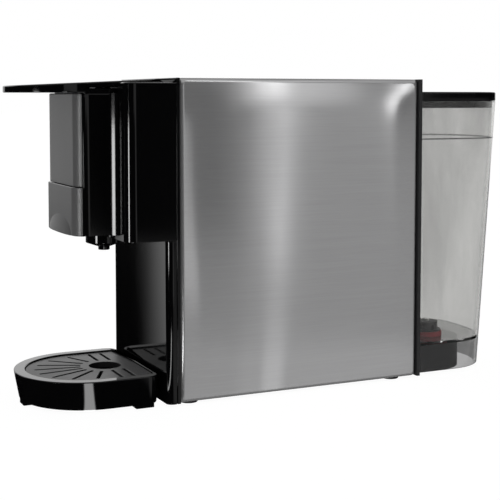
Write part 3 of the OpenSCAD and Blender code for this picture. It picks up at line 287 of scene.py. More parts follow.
class Graph:
    # adds nodes to a tree and wires them by socket name
    def __init__(self, tree):
        self.tree = tree

    def feed(self, node, wires):
        for socket, value in wires.items():
            target = node.inputs[socket]
            if isinstance(value, bpy.types.NodeSocket):
                self.tree.links.new(value, target)
            else:
                target.default_value = value

    def add(self, kind, wires=None, **settings):
        node = self.tree.nodes.new("ShaderNode" + kind)
        for key, value in settings.items():
            setattr(node, key, value)
        self.feed(node, wires or {})
        return node

    def spot(self, kind="Object"):
        return self.add("TexCoord").outputs[kind]

    def axes(self, vector):
        return self.add("SeparateXYZ", {"Vector": vector}).outputs

    def calc(self, operation, *values, **settings):
        return self.add("Math", dict(enumerate(values)), operation=operation, **settings).outputs[0]

    def vector(self, operation, *values, give="Vector"):
        return self.add("VectorMath", dict(enumerate(values)), operation=operation).outputs[give]

    def noise(self, **wires):
        return self.add("TexNoise", wires).outputs["Fac"]

    def scaled(self, vector, scale):
        return self.add("Mapping", {"Vector": vector, "Scale": scale}).outputs[0]

    def remap(self, value, low, high, start=0.0, end=1.0, kind="LINEAR"):
        wires = {"Value": value, "From Min": low, "From Max": high, "To Min": start, "To Max": end}
        return self.add("MapRange", wires, interpolation_type=kind).outputs[0]

    def ramp(self, value, low, high, start=0.0, end=1.0):
        return self.remap(value, low, high, start, end, "SMOOTHSTEP")

    def chain(self, operation, values):
        total = values[0]
        for value in values[1:]:
            total = self.calc(operation, total, value)
        return total

    def product(self, *values):
        return self.chain("MULTIPLY", values)

    def total(self, *values):
        return self.chain("ADD", values)

    def mix(self, factor, first, second):
        return self.add("Mix", {"Factor": factor, "A": first, "B": second}).outputs[0]

    def blend(self, factor, first, second):
        # mix of two colours; the colour sockets of the node are its seventh and eighth
        return self.add("Mix", {0: factor, 6: first, 7: second}, data_type="RGBA").outputs[2]

    def bump(self, height, strength, distance):
        return self.add("Bump", {"Height": height, "Strength": strength, "Distance": distance}).outputs[0]


def newGroup(name, inputs, outputs):
    tree = bpy.data.node_groups.new(name, "ShaderNodeTree")
    for label, value in inputs.items():
        tree.interface.new_socket(label, in_out="INPUT", socket_type="NodeSocketFloat").default_value = value
    for label in outputs:
        tree.interface.new_socket(label, in_out="OUTPUT", socket_type="NodeSocketFloat")
    return Graph(tree), tree.nodes.new("NodeGroupInput").outputs, tree.nodes.new("NodeGroupOutput")


def makeGrainGroup():
    # fine moulded grain: a height, and a mask for small changes of tone
    graph, start, end = newGroup("mouldedGrain", {"Scale": 1500.0, "Depth": 0.5}, ("Height", "Mask"))
    spot = graph.spot()
    fine = graph.noise(Vector=spot, Scale=start["Scale"], Detail=3.0, Roughness=0.6)
    broad = graph.noise(Vector=spot, Scale=28.0, Detail=4.0)
    graph.feed(end, {"Height": graph.calc("MULTIPLY", fine, start["Depth"]), "Mask": broad})
    return graph.tree


def makeHandlingGroup():
    # faint wipe marks and finger traces, as a change of roughness
    graph, start, end = newGroup("handlingMarks", {"Base": 0.15, "Spread": 0.08}, ("Roughness", "Mask"))
    wipes = graph.noise(Vector=graph.scaled(graph.spot(), (14.0, 14.0, 5.0)), Scale=1.0, Detail=6.0,
                        Roughness=0.62, Distortion=0.6)
    shaped = graph.remap(wipes, 0.35, 0.72)
    amount = graph.calc("MULTIPLY", shaped, start["Spread"])
    graph.feed(end, {"Roughness": graph.calc("ADD", amount, start["Base"]), "Mask": shaped})
    return graph.tree


def makeEdgeGroup():
    # light rubbing on edges, from the mesh's own pointedness
    graph, start, end = newGroup("edgeRub", {"Amount": 0.5}, ("Mask",))
    breakUp = graph.noise(Vector=graph.spot(), Scale=180.0, Detail=5.0)
    edge = graph.remap(graph.add("NewGeometry").outputs["Pointiness"], 0.52, 0.6)
    graph.feed(end, {"Mask": graph.product(edge, breakUp, start["Amount"])})
    return graph.tree


def makeBrushGroup():
    # lines left by the brushing belt, long along Y
    graph, start, end = newGroup("brushLines", {"Fineness": 1.0}, ("Height", "Mask"))
    spot = graph.spot()
    fine = graph.noise(Vector=graph.scaled(spot, (2600.0, 22.0, 2600.0)), Scale=start["Fineness"],
                       Detail=4.0, Roughness=0.65)
    coarse = graph.noise(Vector=graph.scaled(spot, (520.0, 9.0, 520.0)), Scale=start["Fineness"],
                         Detail=5.0, Roughness=0.7)
    both = graph.mix(0.4, fine, coarse)
    graph.feed(end, {"Height": both, "Mask": both})
    return graph.tree


grainGroup, handlingGroup = makeGrainGroup(), makeHandlingGroup()
edgeGroup, brushGroup = makeEdgeGroup(), makeBrushGroup()


def startMaterial(name):
    material = bpy.data.materials.new(name)
    material.use_nodes = True
    return material, Graph(material.node_tree), material.node_tree.nodes["Principled BSDF"]


def placeGroup(graph, tree, **values):
    node = graph.add("Group")
    node.node_tree = tree
    graph.feed(node, values)
    return node.outputs


def toned(colour, factor, lift=0.0):
    return (*(min(1.0, c * factor + lift) for c in colour), 1)


def plastic(name, colour, roughness, spread=0.06, grain=1500.0, depth=0.25, level=0.5):
    material, graph, shader = startMaterial(name)
    marks = placeGroup(graph, handlingGroup, Base=roughness, Spread=spread)
    texture = placeGroup(graph, grainGroup, Scale=grain, Depth=1.0)
    edges = placeGroup(graph, edgeGroup, Amount=0.4)
    tone = graph.blend(texture["Mask"], toned(colour, 1), toned(colour, 1.15, 0.001))
    worn = graph.blend(edges["Mask"], tone, toned(colour, 1.6, 0.004))
    graph.feed(shader, {
        "Base Color": worn, "Roughness": marks["Roughness"], "Specular IOR Level": level,
        "Normal": graph.bump(texture["Height"], depth, 0.00008)})
    return material


blackGloss = plastic("blackGloss", (0.001, 0.001, 0.0012), 0.06, spread=0.03, grain=700, depth=0.05)
blackMatte = plastic("blackMatte", (0.012, 0.012, 0.013), 0.46, spread=0.1, grain=1200, depth=0.5)
# painted reflection: a lighter gray that the head and the holder carry on their front faces, standing in for the
# sheen of the light in front on black pieces
headPaintedSheen = plastic("headPaintedSheen", (0.09, 0.09, 0.091), 0.32, spread=0.03, depth=0.06, level=0.6)
grilleFinish = plastic("grilleFinish", (0.018, 0.018, 0.019), 0.4, spread=0.1, grain=1000, depth=0.6, level=0.6)
blackRubber = plastic("blackRubber", (0.014, 0.014, 0.014), 0.7, spread=0.1, grain=900, depth=0.8, level=0.3)
redRubber = plastic("redRubber", (0.36, 0.012, 0.022), 0.5, spread=0.1, grain=900, depth=0.5)
whitePlastic = plastic("whitePlastic", (0.72, 0.72, 0.69), 0.36, spread=0.08, grain=1100, depth=0.3)
coilShell = plastic("coilShell", (0.05, 0.085, 0.16), 0.32, spread=0.1, grain=900, depth=0.4)


def metal(name, colour, roughness, fineness=1.0, depth=0.12, stretch=0.0, streak=0.14, metallic=1.0):
    material, graph, shader = startMaterial(name)
    lines = placeGroup(graph, brushGroup, Fineness=fineness)
    marks = placeGroup(graph, handlingGroup, Base=roughness, Spread=0.05)
    tone = graph.blend(graph.remap(lines["Mask"], 0.32, 0.68), toned(colour, 1), toned(colour, 0.86))
    shade = graph.remap(lines["Mask"], 0.25, 0.75, -streak / 2, streak / 2)
    graph.feed(shader, {
        "Base Color": tone, "Roughness": graph.calc("ADD", marks["Roughness"], shade),
        "Normal": graph.bump(lines["Height"], depth, 0.00006), "Metallic": metallic})
    if stretch:
        tangent = graph.add("Tangent", direction_type="RADIAL", axis="Z").outputs[0]
        graph.feed(shader, {"Anisotropic": stretch, "Anisotropic Rotation": 0.25, "Tangent": tangent})
    return material


brushedSteel = metal("brushedSteel", (0.62, 0.62, 0.625), 0.11, depth=0.012, stretch=0.8, streak=0.01, metallic=0.7)
plainSteel = metal("plainSteel", (0.6, 0.6, 0.59), 0.24, fineness=0.6, depth=0.05, streak=0.06)
castAluminium = metal("castAluminium", (0.5, 0.5, 0.49), 0.46, fineness=0.4, depth=0.3, streak=0.1)


def clearPlastic(name, colour, roughness, index, bands=()):
    material, graph, shader = startMaterial(name)
    marks = placeGroup(graph, handlingGroup, Base=roughness, Spread=0.05)
    texture = placeGroup(graph, grainGroup, Scale=60.0, Depth=1.0)
    tone = graph.blend(marks["Mask"], toned(colour, 1), toned(colour, 0.72))
    # bands across the height, each (low, high, tone)
    height = graph.axes(graph.spot())["Z"]
    for low, high, shade in bands:
        away = graph.calc("SUBTRACT", height, (low + high) / 2 * mm)
        inside = graph.calc("COMPARE", away, 0.0, (high - low) / 2 * mm)
        tone = graph.blend(inside, tone, (shade, shade, shade, 1))
    graph.feed(shader, {
        "Base Color": tone, "Roughness": marks["Roughness"], "IOR": index, "Transmission Weight": 1.0,
        "Normal": graph.bump(texture["Height"], 0.08, 0.0004)})
    return material


tankBands = ((-1, 25.4, 0.38), (196.7, 197.9, 0.2))  # dark base, full mark
clearTank = clearPlastic("clearTank", (0.73, 0.73, 0.72), 0.03, 1.45, tankBands)
clearHose = clearPlastic("clearHose", (0.86, 0.88, 0.86), 0.18, 1.4)


def circuitFinish():
    material, graph, shader = startMaterial("circuitBoard")
    tracks = graph.add("TexBrick", {
        "Vector": graph.spot(), "Scale": 260.0, "Mortar Size": 0.06, "Mortar": (0.05, 0.19, 0.06, 1),
        "Color1": (0.012, 0.07, 0.025, 1), "Color2": (0.016, 0.09, 0.03, 1)})
    marks = placeGroup(graph, handlingGroup, Base=0.3, Spread=0.1)
    graph.feed(shader, {"Base Color": tracks.outputs["Color"], "Roughness": marks["Roughness"]})
    return material


circuitBoard = circuitFinish()
print("finishes made")

# finish of every CAD node, also of those that a piece replaces further down
nodeFinish = (
    (blackMatte, "base_chassis bulkhead holder_body valve_cage rear_cover"),
    (whitePlastic, "piston_guide pump_body flow_meter pressure_hose brew_hose piston valve_plunger"),
    (plainSteel, "lever_pin board_screws pump_bracket heater_bracket base_screws piercer_plate return_spring "
                 "capsule_basket valve_spring cup_button_small cup_button_large"),
    (blackRubber, "valve_socket pump_mounts cable_gland rubber_feet"),
    (redRubber, "piston_seal valve_seal"),
    (clearHose, "suction_hose feed_hose"),
    (brushedSteel, "side_panel_left side_panel_right"),
    (blackGloss, "front_frame top_cover front_column upper_housing lever spout drip_tray tank_lid"),
    (headPaintedSheen, "head_housing holder_front"),
    (circuitBoard, "control_board"),
    (coilShell, "pump_coil"),
    (castAluminium, "heater_block"),
    (grilleFinish, "drip_grille"),
    (clearTank, "water_tank"),
)
for finish, nodeNames in nodeFinish:
    for nodeName in nodeNames.split():
        giveFinish(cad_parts[nodeName], finish, smoothAngle["node"])


past = 1.0  # how far a cutter reaches past what it cuts
sides = (-1, 1)

# steel side panels

panel = {
    "out": 62.0, "front": 10.8, "rear": 218.2, "low": 3.0, "top": 246.0, "roll": 3.6, "rollSteps": 8,
    "rim": 7.0, "sheet": 1.2, "crown": 1.5, "border": 9.0, "edge": 0.5, "cuts": 39, "smoothing": 16,
    "corner": 2.4, "cornerSteps": 5}


def makeSidePanel(name, side, node):
    p = panel
    low = at(p["out"], p["front"] + p["roll"], p["low"] + p["roll"])
    high = at(p["out"], p["rear"] - p["roll"], p["top"] - p["roll"])
    centre, half = (low + high) / 2, (high - low) / 2
    middle, reach = inMm(centre), half / mm
    clearSelection()
    bpy.ops.mesh.primitive_plane_add(size=1, location=centre, rotation=(0, math.pi / 2, 0))
    bpy.context.object.scale = (high.z - low.z, high.y - low.y, 1)
    obj = nameNew(name)
    # a slightly crowned sheet: the border drops back and the rest follows smoothly
    editAll(obj)
    bpy.ops.mesh.subdivide(number_cuts=p["cuts"])
    endEdit()

    def pickAway(distance, inside):
        startEdit(obj, "VERT")
        pickVerts(obj, lambda v: inside == (
            min(reach.y - abs(v.y - middle.y), reach.z - abs(v.z - middle.z)) > distance), flush=True)

    pickAway(p["border"], False)
    bpy.ops.transform.translate(value=(-p["crown"] * mm, 0, 0))
    pickAway(p["edge"], True)
    bpy.ops.mesh.vertices_smooth(factor=0.5, repeat=p["smoothing"], yaxis=False, zaxis=False)
    # rolled edge, then the folded rim
    pickBy("EDGE")
    bpy.ops.mesh.select_non_manifold()
    grown, back = 0.0, 0.0
    for step in range(1, p["rollSteps"] + 1):
        angle = math.pi / 2 * step / p["rollSteps"]
        wider, deeper = p["roll"] * math.sin(angle), p["roll"] * (1 - math.cos(angle))
        extrudeBy(x=back - deeper)
        growth = (1, (reach.y + wider) / (reach.y + grown), (reach.z + wider) / (reach.z + grown))
        bpy.ops.transform.resize(value=growth, center_override=centre)
        grown, back = wider, deeper
    extrudeBy(x=p["crown"] + p["roll"] - p["rim"])
    # round the four corners of the roll
    pickBy("EDGE")
    mesh = bmesh.from_edit_mesh(obj.data)
    for edge in mesh.edges:
        out = [(abs(v.co.y - centre.y) - half.y, abs(v.co.z - centre.z) - half.z) for v in edge.verts]
        edge.select_set(all(abs(y - z) < near * mm and y > -near * mm for y, z in out))
    bmesh.update_edit_mesh(obj.data)
    bevelPicked(p["corner"], p["cornerSteps"])
    faceOutwards()
    mesh = bmesh.from_edit_mesh(obj.data)
    if max(mesh.faces, key=lambda f: f.calc_area()).normal.x < 0:
        bpy.ops.mesh.flip_normals()
    endEdit()
    applyStep(obj, "SOLIDIFY", thickness=p["sheet"] * mm, offset=-1)
    if side < 0:
        editAll(obj)
        bpy.ops.transform.mirror(constraint_axis=(True, False, False), center_override=(0, 0, 0))
        faceOutwards()
        endEdit()
    finishPiece(obj, "machine", "brushed_panel", brushedSteel, node)


makeSidePanel("steelPanelRight", 1, "side_panel_right")
makeSidePanel("steelPanelLeft", -1, "side_panel_left")


# lower column, frame, covers

column = {
    "half": 62.0, "depth": 7.2, "low": 3.0, "top": 125.3, "wall": 2.4, "round": 5.0, "slotAt": 30.0,
    "slotHalf": 11.3, "slotLow": 6.0, "slotTop": 9.6, "edge": 0.5}


def makeColumn():
    c = column
    half, depth, low, top, wall = pick(c, "half depth low top wall")
    obj = addSlab("lowerColumn", half, 0, depth, low, top)
    roundFront(obj, 0, c["round"], 10)
    split(obj, ((0, 0, (c["slotLow"] + c["slotTop"]) / 2), (0, 0, 1)))
    inner = addSlab("inner", half - wall, wall, depth + 5, 0, top + 5)
    roundFront(inner, wall, c["round"] - wall, 6)
    slots = [addBlock("slot", (s * c["slotAt"] - c["slotHalf"], -past, c["slotLow"]),
                      (s * c["slotAt"] + c["slotHalf"], wall + past, c["slotTop"])) for s in sides]
    cut(obj, inner, *slots)
    soften(obj, c["edge"])
    finishBlack(obj, "machine", "front_column")


makeColumn()

covers = {
    "half": 62.0, "coreHalf": 54.7, "fit": 0.3, "frameFront": 7.5, "frameRear": 10.5, "low": 3.0, "top": 246.0,
    "frameOpenTop": 237.2, "rearFront": 218.5, "rearRear": 221.5, "plinthHalf": 51.9, "plinthTop": 25.5,
    "topFront": 10.8, "topRear": 218.2, "topLow": 237.2, "topHigh": 245.2, "wall": 2.4, "ventHalf": 23.3,
    "ventWidth": 2.6, "ventRound": 1.274, "ventCount": 8, "ventLow": 153.0, "ventPitch": 6.0, "edge": 0.6,
    "buttonAt": 18.0, "buttonY": 44.0, "buttonHole": 11.3}


def makeFrame():
    c = covers
    obj = addSlab("frontFrame", c["half"], c["frameFront"], c["frameRear"], c["low"], c["top"])
    cut(obj, addSlab("opening", c["coreHalf"] + c["fit"], c["frameFront"] - past, c["frameRear"] + past,
                     0, c["frameOpenTop"]))
    soften(obj, c["edge"])
    finishBlack(obj, "machine", "front_frame")


def makeRearCover():
    c = covers
    front, behind = c["rearFront"] - past, c["rearFront"] + 5
    obj = addSlab("rearCover", c["half"], c["rearFront"], c["rearRear"], c["low"], c["top"])
    split(obj, ((0, 0, 0), (1, 0, 0)))
    gap = addSlab("gap", c["plinthHalf"], front, behind, 0, c["plinthTop"])
    vents = []
    for number in range(c["ventCount"]):
        z = c["ventLow"] + number * c["ventPitch"]
        vent = addSlab("vent", c["ventHalf"], front, behind, z - c["ventWidth"] / 2, z + c["ventWidth"] / 2)
        roundEdges(vent, lambda a, b: abs(a.y - b.y) > 1, c["ventRound"], 5)
        vents.append(vent)
    cut(obj, gap, joinAll(vents, "vents"))
    soften(obj, c["edge"])
    finishPiece(obj, "machine", "black_matte", blackMatte, "rear_cover")


def makeTopCover():
    c = covers
    obj = addSlab("topCover", c["coreHalf"], c["topFront"], c["topRear"], c["topLow"], c["topHigh"])
    split(obj, ((0, c["buttonY"], 0), (0, 1, 0)), *[((s * c["buttonAt"], 0, 0), (1, 0, 0)) for s in sides])
    inner = addSlab("inner", c["coreHalf"] - c["wall"], c["topFront"] + c["wall"], c["topRear"] - c["wall"],
                    c["topLow"] - past, c["topHigh"] - c["wall"])
    holes = [addRod("hole", (s * c["buttonAt"], c["buttonY"], c["topLow"] - past), c["buttonHole"], 12)
             for s in sides]
    cut(obj, inner, *holes)
    soften(obj, c["edge"])
    finishBlack(obj, "machine", "top_cover")


makeFrame()
makeRearCover()
makeTopCover()


# cup buttons

button = {
    "radius": 11.0, "low": 242.0, "cap": 4.0, "flange": 12.5, "flangeLow": 241.3, "flangeDepth": 1.2,
    "stem": 3.0, "stemLow": 234.6, "dish": 0.5, "dishSteps": 4, "rim": 1.6, "edge": 0.4}


def makeButton(name, x, node):
    b = button
    obj = addRod(name, (x, covers["buttonY"], b["low"]), b["radius"], b["cap"], 96)
    startEdit(obj, "FACE")
    pickFaces(obj, lambda c, n: n.z > 0.9)
    insetBy(b["rim"])
    for step in range(b["dishSteps"]):
        insetBy(b["rim"], -b["dish"] / (4 + 2 * step))
    pickFaces(obj, facesDown)
    insetBy(b["radius"] - b["stem"])
    extrudeBy(z=b["stemLow"] - b["low"])
    endEdit()
    fuse(obj, addRod("flange", (x, covers["buttonY"], b["flangeLow"]), b["flange"], b["flangeDepth"], 96))
    soften(obj, b["edge"], angle=40)
    finishPiece(obj, node, "button_silver", plainSteel, node)


makeButton("smallCupButton", -covers["buttonAt"], "cup_button_small")
makeButton("largeCupButton", covers["buttonAt"], "cup_button_large")


# upper housing

upper = {
    "half": 62.0, "front": -31.3, "rear": 7.2, "low": 125.6, "top": 242.5, "round": 8.0, "wall": 2.4,
    "channelHalf": 44.8, "channelLow": 239.2, "pivotY": -1.5, "pivotZ": 236.8, "trough": 9.0,
    "windowHalf": 40.3, "windowLow": 129.4, "passageHalf": 15.5, "passageRear": -13.2, "stem": 8.0,
    "brewY": -28.7, "pin": 2.55, "edge": 1.0, "lowEdge": 0.6, "over": 260}


def makeUpperHousing():
    u = upper
    front, rear, low, top, wall, over, pivotY, pivotZ = pick(
        u, "front rear low top wall over pivotY pivotZ")
    inside = u["half"] - wall
    obj = addSlab("upperHousing", u["half"], front, rear, low, top)
    roundFront(obj, front, u["round"], 14)
    hollow = addSlab("hollow", inside, front + wall, rear + past, low + wall,
                     u["channelLow"] - wall)
    roundFront(hollow, front + wall, u["round"] - wall, 8)
    cut(obj, hollow)
    tube = addRod("tube", (-u["channelHalf"] - wall, pivotY, pivotZ), u["trough"] + wall,
                  2 * (u["channelHalf"] + wall), 64, "X")
    cut(tube, addSlab("above", 60, -20, 20, top - wall, over),
        addSlab("behind", 60, rear - near, 20, 200, over))
    fuse(obj, tube)
    cut(obj,
        addSlab("channel", u["channelHalf"], front - past, rear + past, u["channelLow"], over),
        addRod("trough", (-u["channelHalf"], pivotY, pivotZ), u["trough"], 2 * u["channelHalf"], 96, "X"),
        addSlab("window", u["windowHalf"], front - past, front + wall + 0.05, u["windowLow"], over),
        addSlab("passage", u["passageHalf"], front - past, u["passageRear"], low - past,
                u["windowLow"] + 0.3),
        addRod("stemHole", (0, u["brewY"], u["channelLow"] - 5), u["stem"], 10, 48),
        addRod("pinHole", (-inside, pivotY, pivotZ), u["pin"], 2 * inside, 32, "X"))
    roundEdges(obj, above(top), u["edge"], 4)
    roundEdges(obj, lambda a, b: below(low)(a, b) and abs(a.x) + abs(b.x) > 2 * u["passageHalf"] + 1
               and min(a.y, b.y) < rear - 0.1, u["lowEdge"])
    finishBlack(obj, "machine", "upper_housing")


makeUpperHousing()


# brewing head

head = {
    "half": 40.0, "front": -62.0, "rear": -2.5, "low": 129.7, "top": 234.6, "round": 10.0, "wall": 2.4,
    "deckHalf": 39.6, "deckFront": -55.4, "deckRear": -31.6, "deckTop": 238.2, "deckEdge": 0.8, "blend": 5.0,
    "hollowAt": (59.3, -50.9), "hollowRadius": 24.0, "bayTop": 166.0, "bayRear": -4.4, "seam": -56.5,
    "seamEdge": 0.5, "slotHalf": 15.5, "slotRear": -13.2, "guide": 21.75, "roomRadius": 11.7, "edge": 1.2}


def makeHead():
    h = head
    half, front, rear, low, top, wall, bayTop = pick(h, "half front rear low top wall bayTop")
    inside, ahead = half - wall, front - past
    obj = addSlab("brewingHead", half, front, rear, low, top)
    roundFront(obj, front, h["round"], 20)
    roundEdges(obj, lambda a, b: above(top)(a, b) and min(a.y, b.y) < rear - 0.1, h["edge"], 5)
    deck = addSlab("deck", h["deckHalf"], h["deckFront"], h["deckRear"], top - 3, h["deckTop"])
    roundEdges(deck, above(h["deckTop"]), h["deckEdge"], 4)
    fuse(obj, deck)
    # hollow blends out to the housing's face
    for side in sides:
        ends = sorted((side * (half - 1), side * (half + h["blend"])))
        blend = addBlock("blend", (ends[0], h["deckRear"] - h["blend"], low),
                         (ends[1], h["deckRear"], top))
        cut(blend, addRod("round", (side * h["hollowAt"][0], h["hollowAt"][1], low - past),
                          h["hollowRadius"], top - low + 2 * past, 512))
        fuse(obj, blend)
    hollow = addSlab("hollow", inside, front + wall, rear + past, bayTop + wall, top - wall)
    roundFront(hollow, front + wall, h["round"] - wall, 8)
    cut(obj, hollow,
        addSlab("bay", inside, ahead, h["bayRear"], low + wall, bayTop),
        addSlab("opening", half + past, ahead, h["seam"], low - past, bayTop),
        addSlab("slot", h["slotHalf"], ahead, h["slotRear"], low - past, low + 3),
        addRod("guideHole", (0, upper["brewY"], bayTop - past), h["guide"], 5, 96),
        addRod("stemHole", (0, upper["brewY"], top - 4), upper["stem"], 10, 48),
        addRod("room", (-half - past, upper["pivotY"], upper["pivotZ"]), h["roomRadius"],
               2 * (half + past), 64, "X"))
    roundEdges(obj, lambda a, b: abs(a.z - bayTop) < 0.02 and abs(b.z - bayTop) < 0.02
               and max(a.y, b.y) < h["seam"] + 0.05, h["seamEdge"])
    finishPiece(obj, "machine", "head_gray", headPaintedSheen, "head_housing")
    frontEnd = at(0, front + h["round"], 0).y
    # painted reflection: the faces that look forward keep the lighter gray, the others turn black gloss
    paintRest(obj, blackGloss, lambda normal, middle: normal.y > -0.5 or middle.y > frontEnd)


makeHead()


# capsule holder

holder = {
    "half": 41.5, "front": -63.5, "rear": -56.8, "low": 129.7, "top": 165.7, "round": 11.5, "lipHalf": 29.0,
    "lipHeight": 14.3, "lipSwell": 2.4, "lipSteps": 128, "lipSunk": 2.0, "edge": 0.8, "lowEdge": 0.5}


def addHalfRing(name, up):
    # half an ellipse from one end of the lip to the other, standing up or lying in front
    h = holder
    clearSelection()
    bpy.ops.mesh.primitive_circle_add(
        vertices=h["lipSteps"], radius=1, rotation=(math.pi / 2 * up, 0, 0), location=at(0, h["front"], h["low"]))
    bpy.context.object.scale = (h["lipHalf"] * mm, (h["lipHeight"] if up else h["lipSwell"]) * mm, 1)
    obj = nameNew(name)
    startEdit(obj, "VERT")
    pickVerts(obj, lambda v: (v.z - h["low"] if up else h["front"] - v.y) < -0.001)
    bpy.ops.mesh.delete(type="VERT")
    endEdit()
    return obj


def makeHolderFront():
    h = holder
    front, rear, low, top = pick(h, "front rear low top")
    obj = addSlab("holderFront", h["half"], front, rear + 20, low, top)
    roundFront(obj, front, h["round"], 24)
    lip = joinAll([addHalfRing("lip", True), addHalfRing("lipFoot", False)], "lip")
    editAll(lip)
    bpy.ops.mesh.bridge_edge_loops(number_cuts=10, interpolation="LINEAR")
    pickAll()
    bpy.ops.mesh.remove_doubles(threshold=0.00002)
    # close the back and the underside
    for test in (lambda v: abs(v.y - front) < 0.003, lambda v: abs(v.z - low) < 0.003):
        pickBy("VERT")
        pickVerts(lip, test)
        bpy.ops.mesh.edge_face_add()
    faceOutwards()
    # the back goes a little into the block it joins
    pickFaces(lip, lambda c, n: n.y > 0.99)
    extrudeBy(y=h["lipSunk"])
    endEdit()
    roundEdges(obj, above(top), h["edge"], 4)
    fuse(obj, lip)
    cut(obj, addSlab("rear", 60, rear, 0, 100, 200))
    roundEdges(obj, lambda a, b: below(low)(a, b) and min(a.y, b.y) < rear - near, h["lowEdge"])
    finishPiece(obj, "capsule_holder", "head_gray", headPaintedSheen, "holder_front")
    # painted reflection: the faces that look forward keep the lighter gray, the others turn black gloss
    paintRest(obj, blackGloss, lambda normal, middle: normal.y > -0.5)


makeHolderFront()

# (radius, height) of each ring of the spout, from its rim down to its mouth
spoutSize = {
    "y": -28.7, "top": 132.4, "bore": 2.6,
    "rings": (
        (14.0, 120.4),
        (13.9, 120.1),
        (13.65, 119.9),
        (13.4, 119.8),
        (5.6, 117.12),
        (4.7, 116.85),
        (4.4, 116.4),
        (4.4, 114.45),
        (4.15, 114.2))}


def makeSpout():
    s = spoutSize
    radius, height = s["rings"][0]
    obj = addRod("spout", (0, s["y"], height), radius, s["top"] - height, 128)
    startEdit(obj, "FACE")
    for newRadius, newHeight in s["rings"][1:]:
        pickFaces(obj, lambda c, n: n.z < -0.9 and abs(c.z - height) < near)
        extrudeBy(z=newHeight - height)
        ratio = newRadius / radius
        bpy.ops.transform.resize(value=(ratio, ratio, 1), center_override=at(0, s["y"], newHeight))
        radius, height = newRadius, newHeight
    endEdit()
    cut(obj, addRod("bore", (0, s["y"], height - past), s["bore"], s["top"] - height + 2 * past, 48))
    finishBlack(obj, "capsule_holder", "spout")


makeSpout()


# lever

leverSize = {
    "half": 44.0, "tip": -104.7, "grip": 235.0, "gripRear": -56.0, "thick": 3.8, "slope": 2.7, "barrel": 8.2,
    "edge": 1.1, "lowEdge": 0.7}


def makeLever():
    l = leverSize
    slope = math.radians(l["slope"])
    pivotY, pivotZ = upper["pivotY"], upper["pivotZ"]

    def under(y):
        return pivotZ + (l["barrel"] - l["thick"]) / math.cos(slope) + (y - pivotY) * math.tan(slope)

    def onTop(v):
        return abs(v.z - under(v.y) - l["thick"]) < 0.02

    obj = addSlab("lever", l["half"], l["tip"], pivotY, l["grip"], 250)
    roundFront(obj, l["tip"], l["half"] - 0.02, 40)
    cutAbove(obj, (0, l["tip"], under(l["tip"]) + l["thick"]), slope)
    wedge = addSlab("wedge", 60, l["gripRear"], 20, 200, 260)
    cutAbove(wedge, (0, 0, under(0)), slope)
    cut(obj, wedge)
    roundEdges(obj, lambda a, b: onTop(a) and onTop(b) and min(a.y, b.y) < pivotY - 0.1, l["edge"], 5)
    roundEdges(obj, below(l["grip"]), l["lowEdge"], 4)
    fuse(obj, addRod("barrel", (-l["half"], pivotY, pivotZ), l["barrel"], 2 * l["half"], 128, "X"))
    cut(obj, addRod("pinHole", (-l["half"] - past, pivotY, pivotZ), upper["pin"], 2 * (l["half"] + past), 32, "X"))
    finishBlack(obj, "lever", "lever")


makeLever()


# drip tray and grille

tray = {
    "half": 55.0, "reach": -99.0, "rear": -3.0, "low": 3.0, "top": 24.5, "corner": 10.0, "draft": 4.0,
    "seatHalf": 46.4, "seatTip": -90.4, "seatRear": -4.2, "seatLow": 20.5, "seatCorner": 6.0, "basinHalf": 43.8,
    "basinTip": -87.8, "basinRear": -6.8, "basinLow": 5.2, "basinDraft": 2.2, "basinCorner": 5.0,
    "basinEdge": 2.0, "tongueAt": 30.0, "tongueHalf": 11.0, "tongueLow": 6.3, "tongueTop": 9.3,
    "tongueRear": 6.0, "tongueCorner": 2.0, "lowEdge": 1.0, "rimEdge": 0.9,
    "feet": ((0, -90.5, 6, 4), (-46, -14, 5, 7), (46, -14, 5, 7)), "footTop": 5.0}  # x, y, halves


def addTrayShape(name, half, tip, rear, low, top, corner, steps=48):
    obj = addSlab(name, half, tip, rear, low, top)
    roundFront(obj, tip, half - 0.01, steps)
    roundUprights(obj, lambda m: m.y > rear - 0.5 and abs(m.x) > half - 0.5, corner, 12)
    return obj


def narrowFoot(obj, low, ratioX, ratioY, centreY):
    startEdit(obj, "FACE")
    pickFaces(obj, facesDown)
    bpy.ops.transform.resize(value=(ratioX, ratioY, 1), center_override=at(0, centreY, low))
    endEdit()


def addTrayFoot(x, y, halfX, halfY):
    return addBlock("foot", (x - halfX, y - halfY, 0), (x + halfX, y + halfY, tray["footTop"]))


